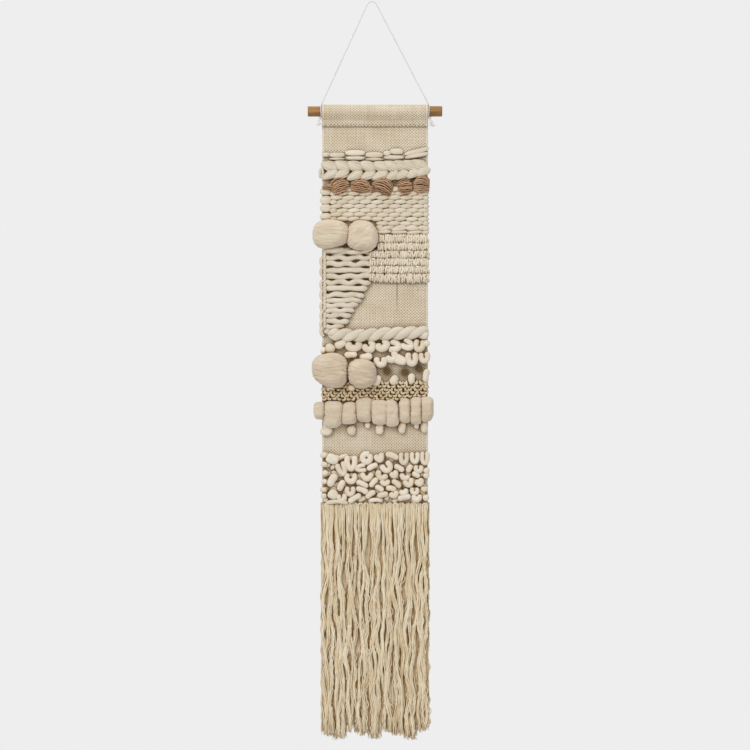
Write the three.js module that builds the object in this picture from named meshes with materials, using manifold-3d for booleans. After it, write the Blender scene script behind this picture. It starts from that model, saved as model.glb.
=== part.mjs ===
// Woven tapestry wall hanging on a wooden dowel, with a twine hanging cord and a long fringe.
// Millimetres, +Z up, +X to the viewer's right, +Y towards the wall.
// The origin is the underside of the cord's top bend, where a hook or a nail holds it.

import * as THREE from "three";
import Module from "manifold-3d";
import { mergeVertices } from "three/addons/utils/BufferGeometryUtils.js";

// ---------------------------------------------------------------- driving dimensions

const GAP = 0.3; // clearance left between pieces that touch

// Dowel and cord
const DOWEL_DIAMETER = 20;
const DOWEL_LENGTH = 254;
const DOWEL_AXIS_Z = -207;
const DOWEL_EASE = 1.5; // rounded edge at each end of the dowel
const CORD_DIAMETER = 2;
const CORD_SIDES = 8;
const CORD_STEPS = 72;
const KNOT_RADIUS = 3;
const TAIL_LENGTH = 15;

// Ground cloth
const CLOTH_WIDTH = 200;
const CLOTH_THICKNESS = 3;
const CLOTH_CENTRE_X = 6; // the heavier left half pulls the cloth off the hang point's line
const CLOTH_MID_Y = 2.5; // the cloth hangs from the back of the dowel
const STITCH_DROP = 23; // sleeve seam below the dowel's axis
const FLAP_DROP = 28.3; // lower edge of the turned-over flap below the dowel's axis

// Heights of the bands down the cloth
const PLAIN_TOP_HEIGHT = 41.7;
const THIN_STITCH_HEIGHT = 22;
const SOUMAK_HEIGHT = 20;
const BRAID_HEIGHT = 20;
const TUFT_HEIGHT = 23;
const BRICK_HEIGHT = 48;
const UPPER_PUFF_HEIGHT = 56;
const LONG_STITCH_HEIGHT = 31; // brick weave beside the upper puffs, down to the knots
const KNOT_ROW_PITCH = 14.6;
const KNOT_ROWS = 6;
const UPPER_WEAVE_HEIGHT = 114;
const UPPER_WEAVE_STRAIGHT = 71; // height of the weave's upright right edge
const FOLD_MARGIN = 5; // bare cloth left above and below a fold
const LOWER_WEAVE_HEIGHT = 23;
const ROPE_HEIGHT = 27;
const LOOP_ROW_HEIGHT = 21.2;
const LOWER_PUFF_HEIGHT = 64;
const HOLLOW_TWILL_HEIGHT = 45.3; // second puff's top down to the boucle beside it
const BOUCLE_HEIGHT = 26.5;
const SMALL_PUFF_HEIGHT = 56;
const PEG_ROW_HEIGHT = 12;
const LOWER_TWILL_ABOVE = 15.7; // bare cloth above and below the lower fold
const LOWER_TWILL_BELOW = 20;
const PILE_ROWS = 6;
const PILE_ROW_PITCH = 15.2;
const FRINGE_LENGTH = 442;
const FRINGE_UNEVEN = 8; // how far the bundles' cut ends differ
const FRINGE_BUNDLES = 9;

// How far each texture stands out from the cloth
const STITCH_DEPTH = 1;
const THIN_DEPTH = 5;
const SOUMAK_DEPTH = 11;
const BRAID_DEPTH = 12;
const TUFT_DEPTH = 16;
const BRICK_DEPTH = 7;
const BIG_PUFF_DEPTH = 36;
const WEAVE_DEPTH = 9;
const KNOT_DEPTH = 10;
const ROPE_DEPTH = 15;
const BOUCLE_DEPTH = 8;
const SMALL_PUFF_DEPTH = 26;
const LOOP_YARN_DIAMETER = 10;
const PEG_YARN_DIAMETER = 7;
const FRINGE_DEPTH = 11;

// How far each couched yarn snakes up and down
const FIRST_LOOP_SWAY = 3.5;
const SECOND_LOOP_SWAY = 1.5;
const SECOND_LOOP_FALL = 12; // the second row sinks towards the right
const PEG_SWAY = 1;
const PILE_SWAY = 2;

// Widths of pieces that don't span the cloth
const PUFF_OVERHANG = 17; // the end lobes stand out past the cloth's edges by about this much
const UPPER_PUFF_WIDTHS = [66, 54.5];
const LOWER_PUFF_WIDTHS = [66, 51];
const SMALL_PUFF_WIDTHS = [19, 35, 27.5, 28, 30, 21, 21.5, 21, 20];
const SMALL_PUFF_OVERHANG = 15;
const SMALL_PUFF_END_OVERHANG = 8; // past the cloth's right edge
const ROSE_TUFTS = 5;
const WEAVE_OVERHANG = 2;
const UPPER_WEAVE_WIDTH = 97;
const UPPER_WEAVE_FOOT = 76; // width left at the fold, where the weave steps in
const LOWER_WEAVE_HEAD = 67;
const LOWER_WEAVE_FOOT = 33;
const ROPE_START = 18; // bare edge left of the rope
const LOOP_START = 12; // bare edges beside the first loop row
const LOOP_END = 5;
const STITCHING_INSET = 4;
const END_LOBE_DROP = 8; // the first small puff is shorter at both ends
const END_LOBE_RISE = 14;

// Cord route: the two straight legs and the bend over the hook, as [x, z]
const CORD_ROUTE = [
  [-95.3, -193.9], [-78, -156], [-60.6, -118.1], [-43.3, -80.3], [-25.9, -42.4],
  [-12.9, -14], [-8.6, -4.5], [-6.1, -1.2], [-3.25, 0.43], [0, 1], [3.25, 0.43],
  [6.1, -1.2], [8.4, -4.1], [13.3, -13.6], [28.2, -42.1], [48, -80], [67.7, -118],
  [87.5, -155.9], [107.3, -193.9],
];

// ---------------------------------------------------------------- worked-out places

const clothLeft = CLOTH_CENTRE_X - CLOTH_WIDTH / 2;
const clothRight = CLOTH_CENTRE_X + CLOTH_WIDTH / 2;
const clothFront = CLOTH_MID_Y - CLOTH_THICKNESS / 2;
const clothBack = CLOTH_MID_Y + CLOTH_THICKNESS / 2;
const textureBack = clothFront - GAP;
const flapFront = clothFront - CLOTH_THICKNESS - GAP;
const stitchZ = DOWEL_AXIS_Z - STITCH_DROP;
const flapZ = DOWEL_AXIS_Z - FLAP_DROP;

const thinTop = flapZ - PLAIN_TOP_HEIGHT;
const soumakTop = thinTop - THIN_STITCH_HEIGHT;
const braidTop = soumakTop - SOUMAK_HEIGHT;
const tuftTop = braidTop - BRAID_HEIGHT;
const brickTop = tuftTop - TUFT_HEIGHT;
const upperPuffTop = brickTop - BRICK_HEIGHT;
const weaveTop = upperPuffTop - UPPER_PUFF_HEIGHT;
const knotTop = upperPuffTop - LONG_STITCH_HEIGHT;
const weaveSplit = weaveTop - UPPER_WEAVE_HEIGHT;
const middleFoldZ = weaveSplit - FOLD_MARGIN;
const lowerWeaveTop = middleFoldZ - FOLD_MARGIN;
const ropeTop = lowerWeaveTop - LOWER_WEAVE_HEIGHT - GAP;
const loopTop = ropeTop - ROPE_HEIGHT;
const lowerPuffTop = loopTop - LOOP_ROW_HEIGHT;
const loopRow2Z = lowerPuffTop - LOOP_YARN_DIAMETER / 2;
const secondPuffTop = loopRow2Z - LOOP_YARN_DIAMETER / 2 - 2 * SECOND_LOOP_SWAY;
const boucleTop = secondPuffTop - HOLLOW_TWILL_HEIGHT;
const boucleLeftTop = lowerPuffTop - LOWER_PUFF_HEIGHT - 2 * GAP;
const smallPuffTop = boucleTop - BOUCLE_HEIGHT;
const pegRowTop = smallPuffTop - SMALL_PUFF_HEIGHT;
const lowerFoldZ = pegRowTop - PEG_ROW_HEIGHT - LOWER_TWILL_ABOVE;
const pileTop = lowerFoldZ - LOWER_TWILL_BELOW;
const fringeHingeZ = pileTop - PILE_ROWS * PILE_ROW_PITCH - FOLD_MARGIN;

// ---------------------------------------------------------------- finishes

const finish = (color, roughness = 0.95) =>
  new THREE.MeshStandardMaterial({ color, roughness, metalness: 0 });
const TWILL = 0xd9cbb0;
const ROVING = 0xe6dcc6;
const FELT = 0xdccdb0;
const ROSE = 0xb88f74;
const LOOP_WHITE = 0xefe7d8;
const JUTE = 0xc4ae88;
const FRINGE = 0xdfd1b4;
const TWINE = 0xe3e1d8;
const WOOD = 0xb87a45;

// ---------------------------------------------------------------- shaping helpers

// Turns a drawing's x, y into world Y, Z, so that its depth runs along X.
const ALONG_X = new THREE.Matrix4().makeBasis(
  new THREE.Vector3(0, 1, 0), new THREE.Vector3(0, 0, 1), new THREE.Vector3(1, 0, 0),
);
// Turns a drawing's x, y into world X, Z, so that its depth runs towards the viewer.
const TOWARDS_VIEWER = new THREE.Matrix4().makeBasis(
  new THREE.Vector3(1, 0, 0), new THREE.Vector3(0, 0, 1), new THREE.Vector3(0, -1, 0),
);

function piece(name, geometry, color, x = 0, y = 0, z = 0, roughness = 0.95) {
  const mesh = new THREE.Mesh(geometry, finish(color, roughness));
  mesh.name = name;
  mesh.position.set(x, y, z);
  return mesh;
}

function extrudeAlongX(shape, length, curveSegments = 6) {
  const settings = { depth: length, bevelEnabled: false, curveSegments };
  return new THREE.ExtrudeGeometry(shape, settings).applyMatrix4(ALONG_X);
}

function extrudeTowardsViewer(points, depth) {
  const shape = new THREE.Shape(points.map(([x, z]) => new THREE.Vector2(x, z)));
  const settings = { depth, bevelEnabled: false };
  return new THREE.ExtrudeGeometry(shape, settings).applyMatrix4(TOWARDS_VIEWER);
}

// A band of stitches across the cloth: flat at the back and rounded at the front.
function band(name, color, left, right, top, bottom, depth) {
  const height = top - bottom;
  const shape = new THREE.Shape();
  shape.moveTo(0, 0);
  shape.lineTo(0, height);
  shape.lineTo(-depth / 3, height);
  shape.quadraticCurveTo(-depth, height, -depth, height / 2);
  shape.quadraticCurveTo(-depth, 0, -depth / 3, 0);
  shape.closePath();
  const geometry = extrudeAlongX(shape, right - left, 4);
  return piece(name, geometry, color, left, textureBack, bottom);
}

// A flat-backed pad whose outline is given as world [x, z] corners.
function pad(name, color, outline, depth) {
  return piece(name, extrudeTowardsViewer(outline, depth), color, 0, textureBack, 0);
}

// A stuffed lobe: a ball drawn out towards a rounded box, lying against the cloth.
function puff(name, color, left, right, top, bottom, depth, round = 16, tall = 10) {
  const geometry = new THREE.SphereGeometry(1, round, tall);
  const at = geometry.attributes.position;
  const swell = (value) => Math.sign(value) * Math.abs(value) ** 0.8;
  for (let i = 0; i < at.count; i += 1) {
    at.setXYZ(i, swell(at.getX(i)), swell(at.getY(i)), swell(at.getZ(i)));
  }
  const width = right - left;
  const height = top - bottom;
  geometry.rotateX(Math.PI / 2);
  geometry.scale(width / 2, depth / 2, height / 2);
  const x = (left + right) / 2;
  return piece(name, geometry, color, x, textureBack - depth / 2, (top + bottom) / 2);
}

// A yarn couched down along a row: it snakes up and down by sway at every wave.
function yarnRun(name, color, left, right, zLeft, zRight, diameter, waves, sway) {
  const points = [];
  const count = waves * 4;
  for (let i = 0; i <= count; i += 1) {
    const t = i / count;
    const z = zLeft + (zRight - zLeft) * t + sway * Math.sin(i * Math.PI / 2);
    points.push(new THREE.Vector3(left + (right - left) * t, 0, z));
  }
  const section = roundSection(diameter / 2, 6);
  const path = new THREE.CatmullRomCurve3(points);
  const geometry = new THREE.ExtrudeGeometry(section, { steps: count, extrudePath: path });
  return piece(name, geometry, color, 0, textureBack - diameter / 2, 0);
}

function roundSection(radius, sides) {
  const corner = (i) => {
    const turn = i * 2 * Math.PI / sides;
    return new THREE.Vector2(radius * Math.cos(turn), radius * Math.sin(turn));
  };
  return new THREE.Shape(Array.from({ length: sides }, (_, i) => corner(i)));
}

// ---------------------------------------------------------------- joining solids

const wasm = await Module();
wasm.setup();

function solid(geometry) {
  const bare = geometry.clone();
  bare.deleteAttribute("normal");
  bare.deleteAttribute("uv");
  const merged = mergeVertices(bare, 1e-3);
  return new wasm.Manifold(new wasm.Mesh({
    numProp: 3,
    vertProperties: new Float32Array(merged.attributes.position.array),
    triVerts: new Uint32Array(merged.index.array),
  }));
}

function geometryOf(manifold) {
  const mesh = manifold.getMesh();
  const geometry = new THREE.BufferGeometry();
  geometry.setAttribute("position", new THREE.BufferAttribute(mesh.vertProperties, 3));
  geometry.setIndex(new THREE.BufferAttribute(mesh.triVerts, 1));
  return geometry;
}

// ---------------------------------------------------------------- cord and dowel

function hangingCord() {
  const points = CORD_ROUTE.map(([x, z]) => new THREE.Vector3(x, 0, z));
  const path = new THREE.CatmullRomCurve3(points, false, "centripetal");
  const section = roundSection(CORD_DIAMETER / 2, CORD_SIDES);
  const settings = { steps: CORD_STEPS, extrudePath: path };
  return piece("hanging_cord", new THREE.ExtrudeGeometry(section, settings), TWINE);
}

// The cord's turn round the dowel, its knot under the dowel and its short cut tail.
function cordKnot(name, x, side) {
  const radius = CORD_DIAMETER / 2;
  const turnRadius = DOWEL_DIAMETER / 2 + GAP + radius;
  const turn = new THREE.TorusGeometry(turnRadius, radius, CORD_SIDES, 36);
  turn.rotateY(Math.PI / 2);
  const knotAt = new THREE.Vector3(side * 2, -5, -turnRadius - KNOT_RADIUS / 2);
  const knot = new THREE.SphereGeometry(KNOT_RADIUS, 12, 8);
  knot.translate(knotAt.x, knotAt.y, knotAt.z);
  const tail = new THREE.CylinderGeometry(radius, radius * 1.6, TAIL_LENGTH, CORD_SIDES);
  tail.translate(0, -TAIL_LENGTH / 2, 0);
  tail.rotateX(Math.PI / 2);
  tail.rotateY(-side * Math.PI / 7);
  tail.translate(knotAt.x, knotAt.y, knotAt.z);
  const joined = solid(turn).add(solid(knot)).add(solid(tail));
  return piece(name, geometryOf(joined), TWINE, x, 0, DOWEL_AXIS_Z);
}

function dowel() {
  const radius = DOWEL_DIAMETER / 2;
  const half = DOWEL_LENGTH / 2;
  const ease = DOWEL_EASE * 0.3;
  const profile = [
    [0, -half], [radius - DOWEL_EASE, -half], [radius - ease, -half + ease],
    [radius, -half + DOWEL_EASE], [radius, half - DOWEL_EASE],
    [radius - ease, half - ease], [radius - DOWEL_EASE, half], [0, half],
  ].map(([r, y]) => new THREE.Vector2(r, y));
  const geometry = new THREE.LatheGeometry(profile, 40);
  geometry.rotateZ(-Math.PI / 2);
  return piece("dowel", geometry, WOOD, CLOTH_CENTRE_X, 0, DOWEL_AXIS_Z, 0.55);
}

// ---------------------------------------------------------------- ground cloth

// The direction in which a line from a point below touches a circle round the origin.
function touchAngle(radius, y, z, side) {
  const distance = Math.hypot(y, z);
  return Math.atan2(z, y) + side * Math.acos(radius / distance);
}

// Where two lines meet that both lie one radius from the origin.
function meetingPoint(radius, angleA, angleB) {
  const middle = (angleA + angleB) / 2;
  const reach = radius / Math.cos((angleA - angleB) / 2);
  return [reach * Math.cos(middle), reach * Math.sin(middle)];
}

// The cloth's top, turned forwards over the dowel and sewn to itself as a sleeve.
function hemSleeve() {
  const inner = DOWEL_DIAMETER / 2 + GAP;
  const outer = inner + CLOTH_THICKNESS;
  const back = touchAngle(outer, clothBack, -STITCH_DROP, 1);
  const front = touchAngle(outer, flapFront, -STITCH_DROP, -1) + 2 * Math.PI;
  const shape = new THREE.Shape();
  shape.moveTo(clothBack, -FLAP_DROP);
  shape.lineTo(clothBack, -STITCH_DROP);
  shape.absarc(0, 0, outer, back, front, false);
  shape.lineTo(flapFront, -STITCH_DROP);
  shape.lineTo(flapFront, -FLAP_DROP);
  shape.closePath();
  const channel = new THREE.Path();
  channel.absarc(0, 0, inner, back, front, false);
  channel.lineTo(...meetingPoint(inner, back, front - 2 * Math.PI));
  channel.closePath();
  shape.holes.push(channel);
  const geometry = extrudeAlongX(shape, CLOTH_WIDTH, 28);
  return piece("hem_sleeve", geometry, TWILL, clothLeft, 0, DOWEL_AXIS_Z);
}

function hemStitching() {
  const length = CLOTH_WIDTH - 2 * STITCHING_INSET;
  const geometry = new THREE.BoxGeometry(length, STITCH_DEPTH, STITCH_DEPTH);
  const y = flapFront - GAP - STITCH_DEPTH / 2;
  const z = (stitchZ + flapZ) / 2;
  return piece("hem_stitching", geometry, ROVING, CLOTH_CENTRE_X, y, z);
}

// A length of cloth between two folds. Its lower edge is rounded about the fold's axis,
// and its upper edge stands just clear of the rounded edge above it.
function clothPanel(name, topZ, foldZ) {
  const half = CLOTH_THICKNESS / 2;
  const shape = new THREE.Shape();
  shape.moveTo(half, topZ - foldZ);
  shape.lineTo(-half, topZ - foldZ);
  shape.lineTo(-half, 0);
  shape.absarc(0, 0, half, Math.PI, 2 * Math.PI, false);
  shape.closePath();
  const geometry = extrudeAlongX(shape, CLOTH_WIDTH, 6);
  return piece(name, geometry, TWILL, clothLeft, CLOTH_MID_Y, foldZ);
}

const belowFold = (foldZ) => foldZ - CLOTH_THICKNESS / 2 - GAP;

// ---------------------------------------------------------------- textures

function roseTufts() {
  const pitch = CLOTH_WIDTH / ROSE_TUFTS;
  return Array.from({ length: ROSE_TUFTS }, (_, i) => {
    const left = clothLeft + i * pitch + GAP / 2;
    const right = clothLeft + (i + 1) * pitch - GAP / 2;
    const bottom = tuftTop - TUFT_HEIGHT;
    return puff(`rose_tuft_${i + 1}`, ROSE, left, right, tuftTop - GAP, bottom + GAP,
      TUFT_DEPTH, 12, 8);
  });
}

// Lobes side by side, starting past the cloth's left edge.
function lobes(names, widths, start, tops, bottoms, depth, round, tall) {
  let left = start;
  return names.map((name, i) => {
    const right = left + widths[i];
    const lobe = puff(name, FELT, left + GAP / 2, right - GAP / 2,
      tops[i] - GAP, bottoms[i] + GAP, depth, round, tall);
    left = right;
    return lobe;
  });
}

function upperPuffs() {
  const bottom = upperPuffTop - UPPER_PUFF_HEIGHT;
  return lobes(["upper_puff_left", "upper_puff_right"], UPPER_PUFF_WIDTHS,
    clothLeft - PUFF_OVERHANG, [upperPuffTop, upperPuffTop], [bottom, bottom], BIG_PUFF_DEPTH);
}

function lowerPuffs() {
  const bottom = lowerPuffTop - LOWER_PUFF_HEIGHT;
  return lobes(["lower_puff_left", "lower_puff_right"], LOWER_PUFF_WIDTHS,
    clothLeft - PUFF_OVERHANG, [lowerPuffTop, secondPuffTop], [bottom, bottom], BIG_PUFF_DEPTH);
}

// The small puffs fill the cloth's whole width and stand out past both edges.
function smallPuffs() {
  const row = SMALL_PUFF_OVERHANG + CLOTH_WIDTH + SMALL_PUFF_END_OVERHANG;
  const stuffed = SMALL_PUFF_WIDTHS.reduce((sum, width) => sum + width, 0);
  const widths = SMALL_PUFF_WIDTHS.map((width) => width * (row / stuffed));
  const names = SMALL_PUFF_WIDTHS.map((_, i) => `small_puff_${i + 1}`);
  const tops = names.map((_, i) => smallPuffTop - (i === 0 ? END_LOBE_DROP : 0));
  const bottoms = names.map((_, i) => pegRowTop + (i === 0 ? END_LOBE_RISE : 0));
  return lobes(names, widths, clothLeft - SMALL_PUFF_OVERHANG, tops, bottoms,
    SMALL_PUFF_DEPTH, 12, 8);
}

const upperPuffEnd =
  clothLeft - PUFF_OVERHANG + UPPER_PUFF_WIDTHS[0] + UPPER_PUFF_WIDTHS[1];
const lowerPuffEnd =
  clothLeft - PUFF_OVERHANG + LOWER_PUFF_WIDTHS[0] + LOWER_PUFF_WIDTHS[1];

// Brick weave: the whole width above the puffs, then only beside them.
function brickWeave() {
  const outline = [
    [clothLeft, brickTop], [clothRight, brickTop], [clothRight, knotTop + GAP],
    [upperPuffEnd + GAP, knotTop + GAP], [upperPuffEnd + GAP, upperPuffTop],
    [clothLeft, upperPuffTop],
  ];
  return pad("brick_weave", ROVING, outline.reverse(), BRICK_DEPTH);
}

function upperWeave() {
  const left = clothLeft - WEAVE_OVERHANG;
  const outline = [
    [left, weaveTop], [left, weaveSplit], [left + UPPER_WEAVE_FOOT, weaveSplit],
    [left + UPPER_WEAVE_WIDTH, weaveTop - UPPER_WEAVE_STRAIGHT],
    [left + UPPER_WEAVE_WIDTH, weaveTop],
  ];
  return pad("roving_weave_upper", ROVING, outline, WEAVE_DEPTH);
}

function lowerWeave() {
  const left = clothLeft - WEAVE_OVERHANG;
  const bottom = lowerWeaveTop - LOWER_WEAVE_HEIGHT;
  const outline = [
    [left, lowerWeaveTop], [left, bottom], [left + LOWER_WEAVE_FOOT, bottom],
    [left + LOWER_WEAVE_HEAD, lowerWeaveTop],
  ];
  return pad("roving_weave_lower", ROVING, outline, WEAVE_DEPTH);
}

// The knotted rows start beside the puffs, and lower down beside the roving weave.
function knotRows() {
  const weaveEnd = clothLeft - WEAVE_OVERHANG + UPPER_WEAVE_WIDTH;
  return Array.from({ length: KNOT_ROWS }, (_, i) => {
    const top = knotTop - i * KNOT_ROW_PITCH;
    const beside = top - KNOT_ROW_PITCH / 2 > weaveTop ? upperPuffEnd : weaveEnd;
    return band(`knot_row_${i + 1}`, ROVING, beside + GAP, clothRight, top - GAP,
      top - KNOT_ROW_PITCH, KNOT_DEPTH);
  });
}

function loopRows() {
  const half = LOOP_YARN_DIAMETER / 2;
  const firstZ = loopTop - LOOP_ROW_HEIGHT / 2;
  const secondLeft = clothLeft + UPPER_PUFF_WIDTHS[0] - PUFF_OVERHANG + half;
  return [
    yarnRun("loop_row_1", LOOP_WHITE, clothLeft + LOOP_START, clothRight - LOOP_END,
      firstZ, firstZ, LOOP_YARN_DIAMETER, 8, FIRST_LOOP_SWAY),
    yarnRun("loop_row_2", LOOP_WHITE, secondLeft, clothRight,
      loopRow2Z, loopRow2Z - SECOND_LOOP_FALL, LOOP_YARN_DIAMETER, 7, SECOND_LOOP_SWAY),
  ];
}

function boucleBand() {
  const bottom = smallPuffTop + GAP;
  const outline = [
    [clothLeft, boucleLeftTop], [clothLeft, bottom], [clothRight, bottom],
    [clothRight, boucleTop], [lowerPuffEnd + GAP, boucleTop],
    [lowerPuffEnd + GAP, boucleLeftTop],
  ];
  return pad("boucle_band", JUTE, outline, BOUCLE_DEPTH);
}

function pegRows() {
  const half = PEG_YARN_DIAMETER / 2;
  const upperZ = boucleTop + half + PEG_SWAY + GAP;
  const lowerZ = pegRowTop - half - PEG_SWAY - GAP;
  return [
    yarnRun("peg_row_upper", LOOP_WHITE, lowerPuffEnd + half, clothRight, upperZ, upperZ,
      PEG_YARN_DIAMETER, 4, PEG_SWAY),
    yarnRun("peg_row_lower", LOOP_WHITE, clothLeft, clothRight, lowerZ, lowerZ,
      PEG_YARN_DIAMETER, 7, PEG_SWAY),
  ];
}

function pileRows() {
  return Array.from({ length: PILE_ROWS }, (_, i) => {
    const z = pileTop - (i + 0.5) * PILE_ROW_PITCH;
    return yarnRun(`pile_row_${i + 1}`, LOOP_WHITE, clothLeft - WEAVE_OVERHANG, clothRight, z, z,
      LOOP_YARN_DIAMETER, 8, PILE_SWAY);
  });
}

// One looped-on bundle of fringe strands: rounded shoulders and an uneven cut end.
function fringeBundle(index) {
  const pitch = CLOTH_WIDTH / FRINGE_BUNDLES;
  const half = pitch / 2 - GAP;
  const shoulder = 6;
  const taper = 1.5;
  const length = FRINGE_LENGTH + FRINGE_UNEVEN * Math.sin(index * 2.1);
  const top = -CLOTH_THICKNESS / 2 - GAP;
  const outline = [
    [-half + taper, -length], [half - taper, -length], [half, -length / 2],
    [half, top - shoulder], [half - shoulder / 3, top - shoulder / 3], [half - shoulder, top],
    [-half + shoulder, top], [-half + shoulder / 3, top - shoulder / 3],
    [-half, top - shoulder], [-half, -length / 2],
  ];
  const x = clothLeft + (index + 0.5) * pitch;
  const y = CLOTH_MID_Y + FRINGE_DEPTH / 2;
  const geometry = extrudeTowardsViewer(outline, FRINGE_DEPTH);
  return piece(`fringe_bundle_${index + 1}`, geometry, FRINGE, x, y, fringeHingeZ);
}

// ---------------------------------------------------------------- assembly

function group(...pieces) {
  const made = new THREE.Group();
  made.add(...pieces.flat());
  return made;
}

const knotReach = CORD_DIAMETER / 2 + GAP;

const hanger = group(
  hangingCord(),
  cordKnot("left_cord_knot", clothLeft - knotReach, -1),
  cordKnot("right_cord_knot", clothRight + knotReach, 1),
);

const upperPanel = group(
  hemSleeve(),
  hemStitching(),
  clothPanel("upper_cloth", flapZ - GAP, middleFoldZ),
  band("thin_stitch_row", ROVING, clothLeft, clothRight, thinTop - GAP,
    soumakTop, THIN_DEPTH),
  band("soumak_row", ROVING, clothLeft, clothRight, soumakTop - GAP,
    braidTop, SOUMAK_DEPTH),
  band("braid_row", ROVING, clothLeft, clothRight, braidTop - GAP,
    tuftTop, BRAID_DEPTH),
  roseTufts(),
  brickWeave(),
  upperPuffs(),
  upperWeave(),
  knotRows(),
);

const middlePanel = group(
  clothPanel("middle_cloth", belowFold(middleFoldZ), lowerFoldZ),
  lowerWeave(),
  band("rope_row", ROVING, clothLeft + ROPE_START, clothRight, ropeTop, loopTop, ROPE_DEPTH),
  loopRows(),
  lowerPuffs(),
  boucleBand(),
  pegRows(),
  smallPuffs(),
);

const lowerPanel = group(
  clothPanel("lower_cloth", belowFold(lowerFoldZ), fringeHingeZ),
  pileRows(),
);

const fringe = group(Array.from({ length: FRINGE_BUNDLES }, (_, i) => fringeBundle(i)));

export default group(hanger, group(dowel()), upperPanel, middlePanel, lowerPanel, fringe);
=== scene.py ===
"""The looks of a woven tapestry wall hanging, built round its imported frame.

Every band of yarn is laid stitch by stitch on the frame's places, in metres: +X to the viewer's
right, +Y towards the wall and +Z up.
"""

import logging
import math
from collections.abc import Iterable, Mapping, Sequence
from dataclasses import dataclass, field, replace
from enum import Enum, IntEnum
from typing import Any

import bmesh
import bpy
import numpy as np
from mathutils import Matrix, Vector, noise


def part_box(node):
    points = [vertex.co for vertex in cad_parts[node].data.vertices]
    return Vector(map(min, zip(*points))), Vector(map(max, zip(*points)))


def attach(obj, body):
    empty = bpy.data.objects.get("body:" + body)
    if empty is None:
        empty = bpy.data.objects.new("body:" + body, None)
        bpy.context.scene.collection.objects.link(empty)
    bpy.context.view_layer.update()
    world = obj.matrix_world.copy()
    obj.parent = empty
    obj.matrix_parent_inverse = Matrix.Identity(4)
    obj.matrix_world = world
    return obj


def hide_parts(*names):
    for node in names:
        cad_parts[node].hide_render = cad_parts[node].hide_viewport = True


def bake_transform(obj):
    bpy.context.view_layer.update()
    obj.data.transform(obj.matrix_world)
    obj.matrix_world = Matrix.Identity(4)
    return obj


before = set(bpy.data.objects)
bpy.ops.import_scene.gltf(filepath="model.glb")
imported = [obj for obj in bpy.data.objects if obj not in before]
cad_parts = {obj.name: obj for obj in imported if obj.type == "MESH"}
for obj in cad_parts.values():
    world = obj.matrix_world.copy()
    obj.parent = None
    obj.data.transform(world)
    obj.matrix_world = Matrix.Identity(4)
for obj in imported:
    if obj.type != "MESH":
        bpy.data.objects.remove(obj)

LOG = logging.getLogger("hanging")
MM = 0.001
VIEWER = (0.0, -1.0, 0.0)
UV_FIBRE = "Fibre"
TINT = "tint"

Colour = tuple[float, float, float, float]
Points = np.ndarray
Chance = np.random.Generator


def shade(red: int, green: int, blue: int) -> Colour:
    """A colour from its screen values, made linear for the shaders.

    Args:
        red: From 0 to 255.
        green: From 0 to 255.
        blue: From 0 to 255.

    Returns:
        Red, green, blue and alpha.
    """
    parts = [c / 255 for c in (red, green, blue)]
    line = [c / 12.92 if c <= 0.04045 else ((c + 0.055) / 1.055) ** 2.4 for c in parts]
    return (line[0], line[1], line[2], 1.0)


class Seed(IntEnum):
    """Where each band's own chance starts. A numbered piece adds its number."""

    ROPE = 5
    DOWEL = 7
    HEM = 12
    BOUCLE = 17
    THIN = 21
    BRICK = 33
    CORD_KNOT = 40
    SOUMAK = 51
    BRAID = 52
    ROSE = 60
    ROVING = 80
    KNOTS = 90
    FRINGE = 200
    LOOPS_UPPER = 301
    LOOPS_LOWER = 302
    PEGS_UPPER = 311
    PEGS_LOWER = 312
    PILE = 400


def chance(seed: int) -> Chance:
    """The seeded chance that one band draws from."""
    return np.random.default_rng(int(seed))


@dataclass(frozen=True)
class Room:
    """The room that one or more frame nodes take, in metres."""

    left: float
    right: float
    front: float
    back: float
    bottom: float
    top: float

    @classmethod
    def of(cls, *nodes: str) -> "Room":
        """The room round these nodes.

        Args:
            nodes: Names of frame nodes.

        Returns:
            The box that holds them all.
        """
        boxes = [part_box(node) for node in nodes]
        low = [min(box[0][axis] for box in boxes) for axis in range(3)]
        high = [max(box[1][axis] for box in boxes) for axis in range(3)]
        return cls(low[0], high[0], low[1], high[1], low[2], high[2])

    @property
    def width(self) -> float:
        """How wide the room is."""
        return self.right - self.left

    @property
    def height(self) -> float:
        """How tall the room is."""
        return self.top - self.bottom

    @property
    def depth(self) -> float:
        """How far the room stands out from its back."""
        return self.back - self.front


# ---- shader sums


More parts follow.
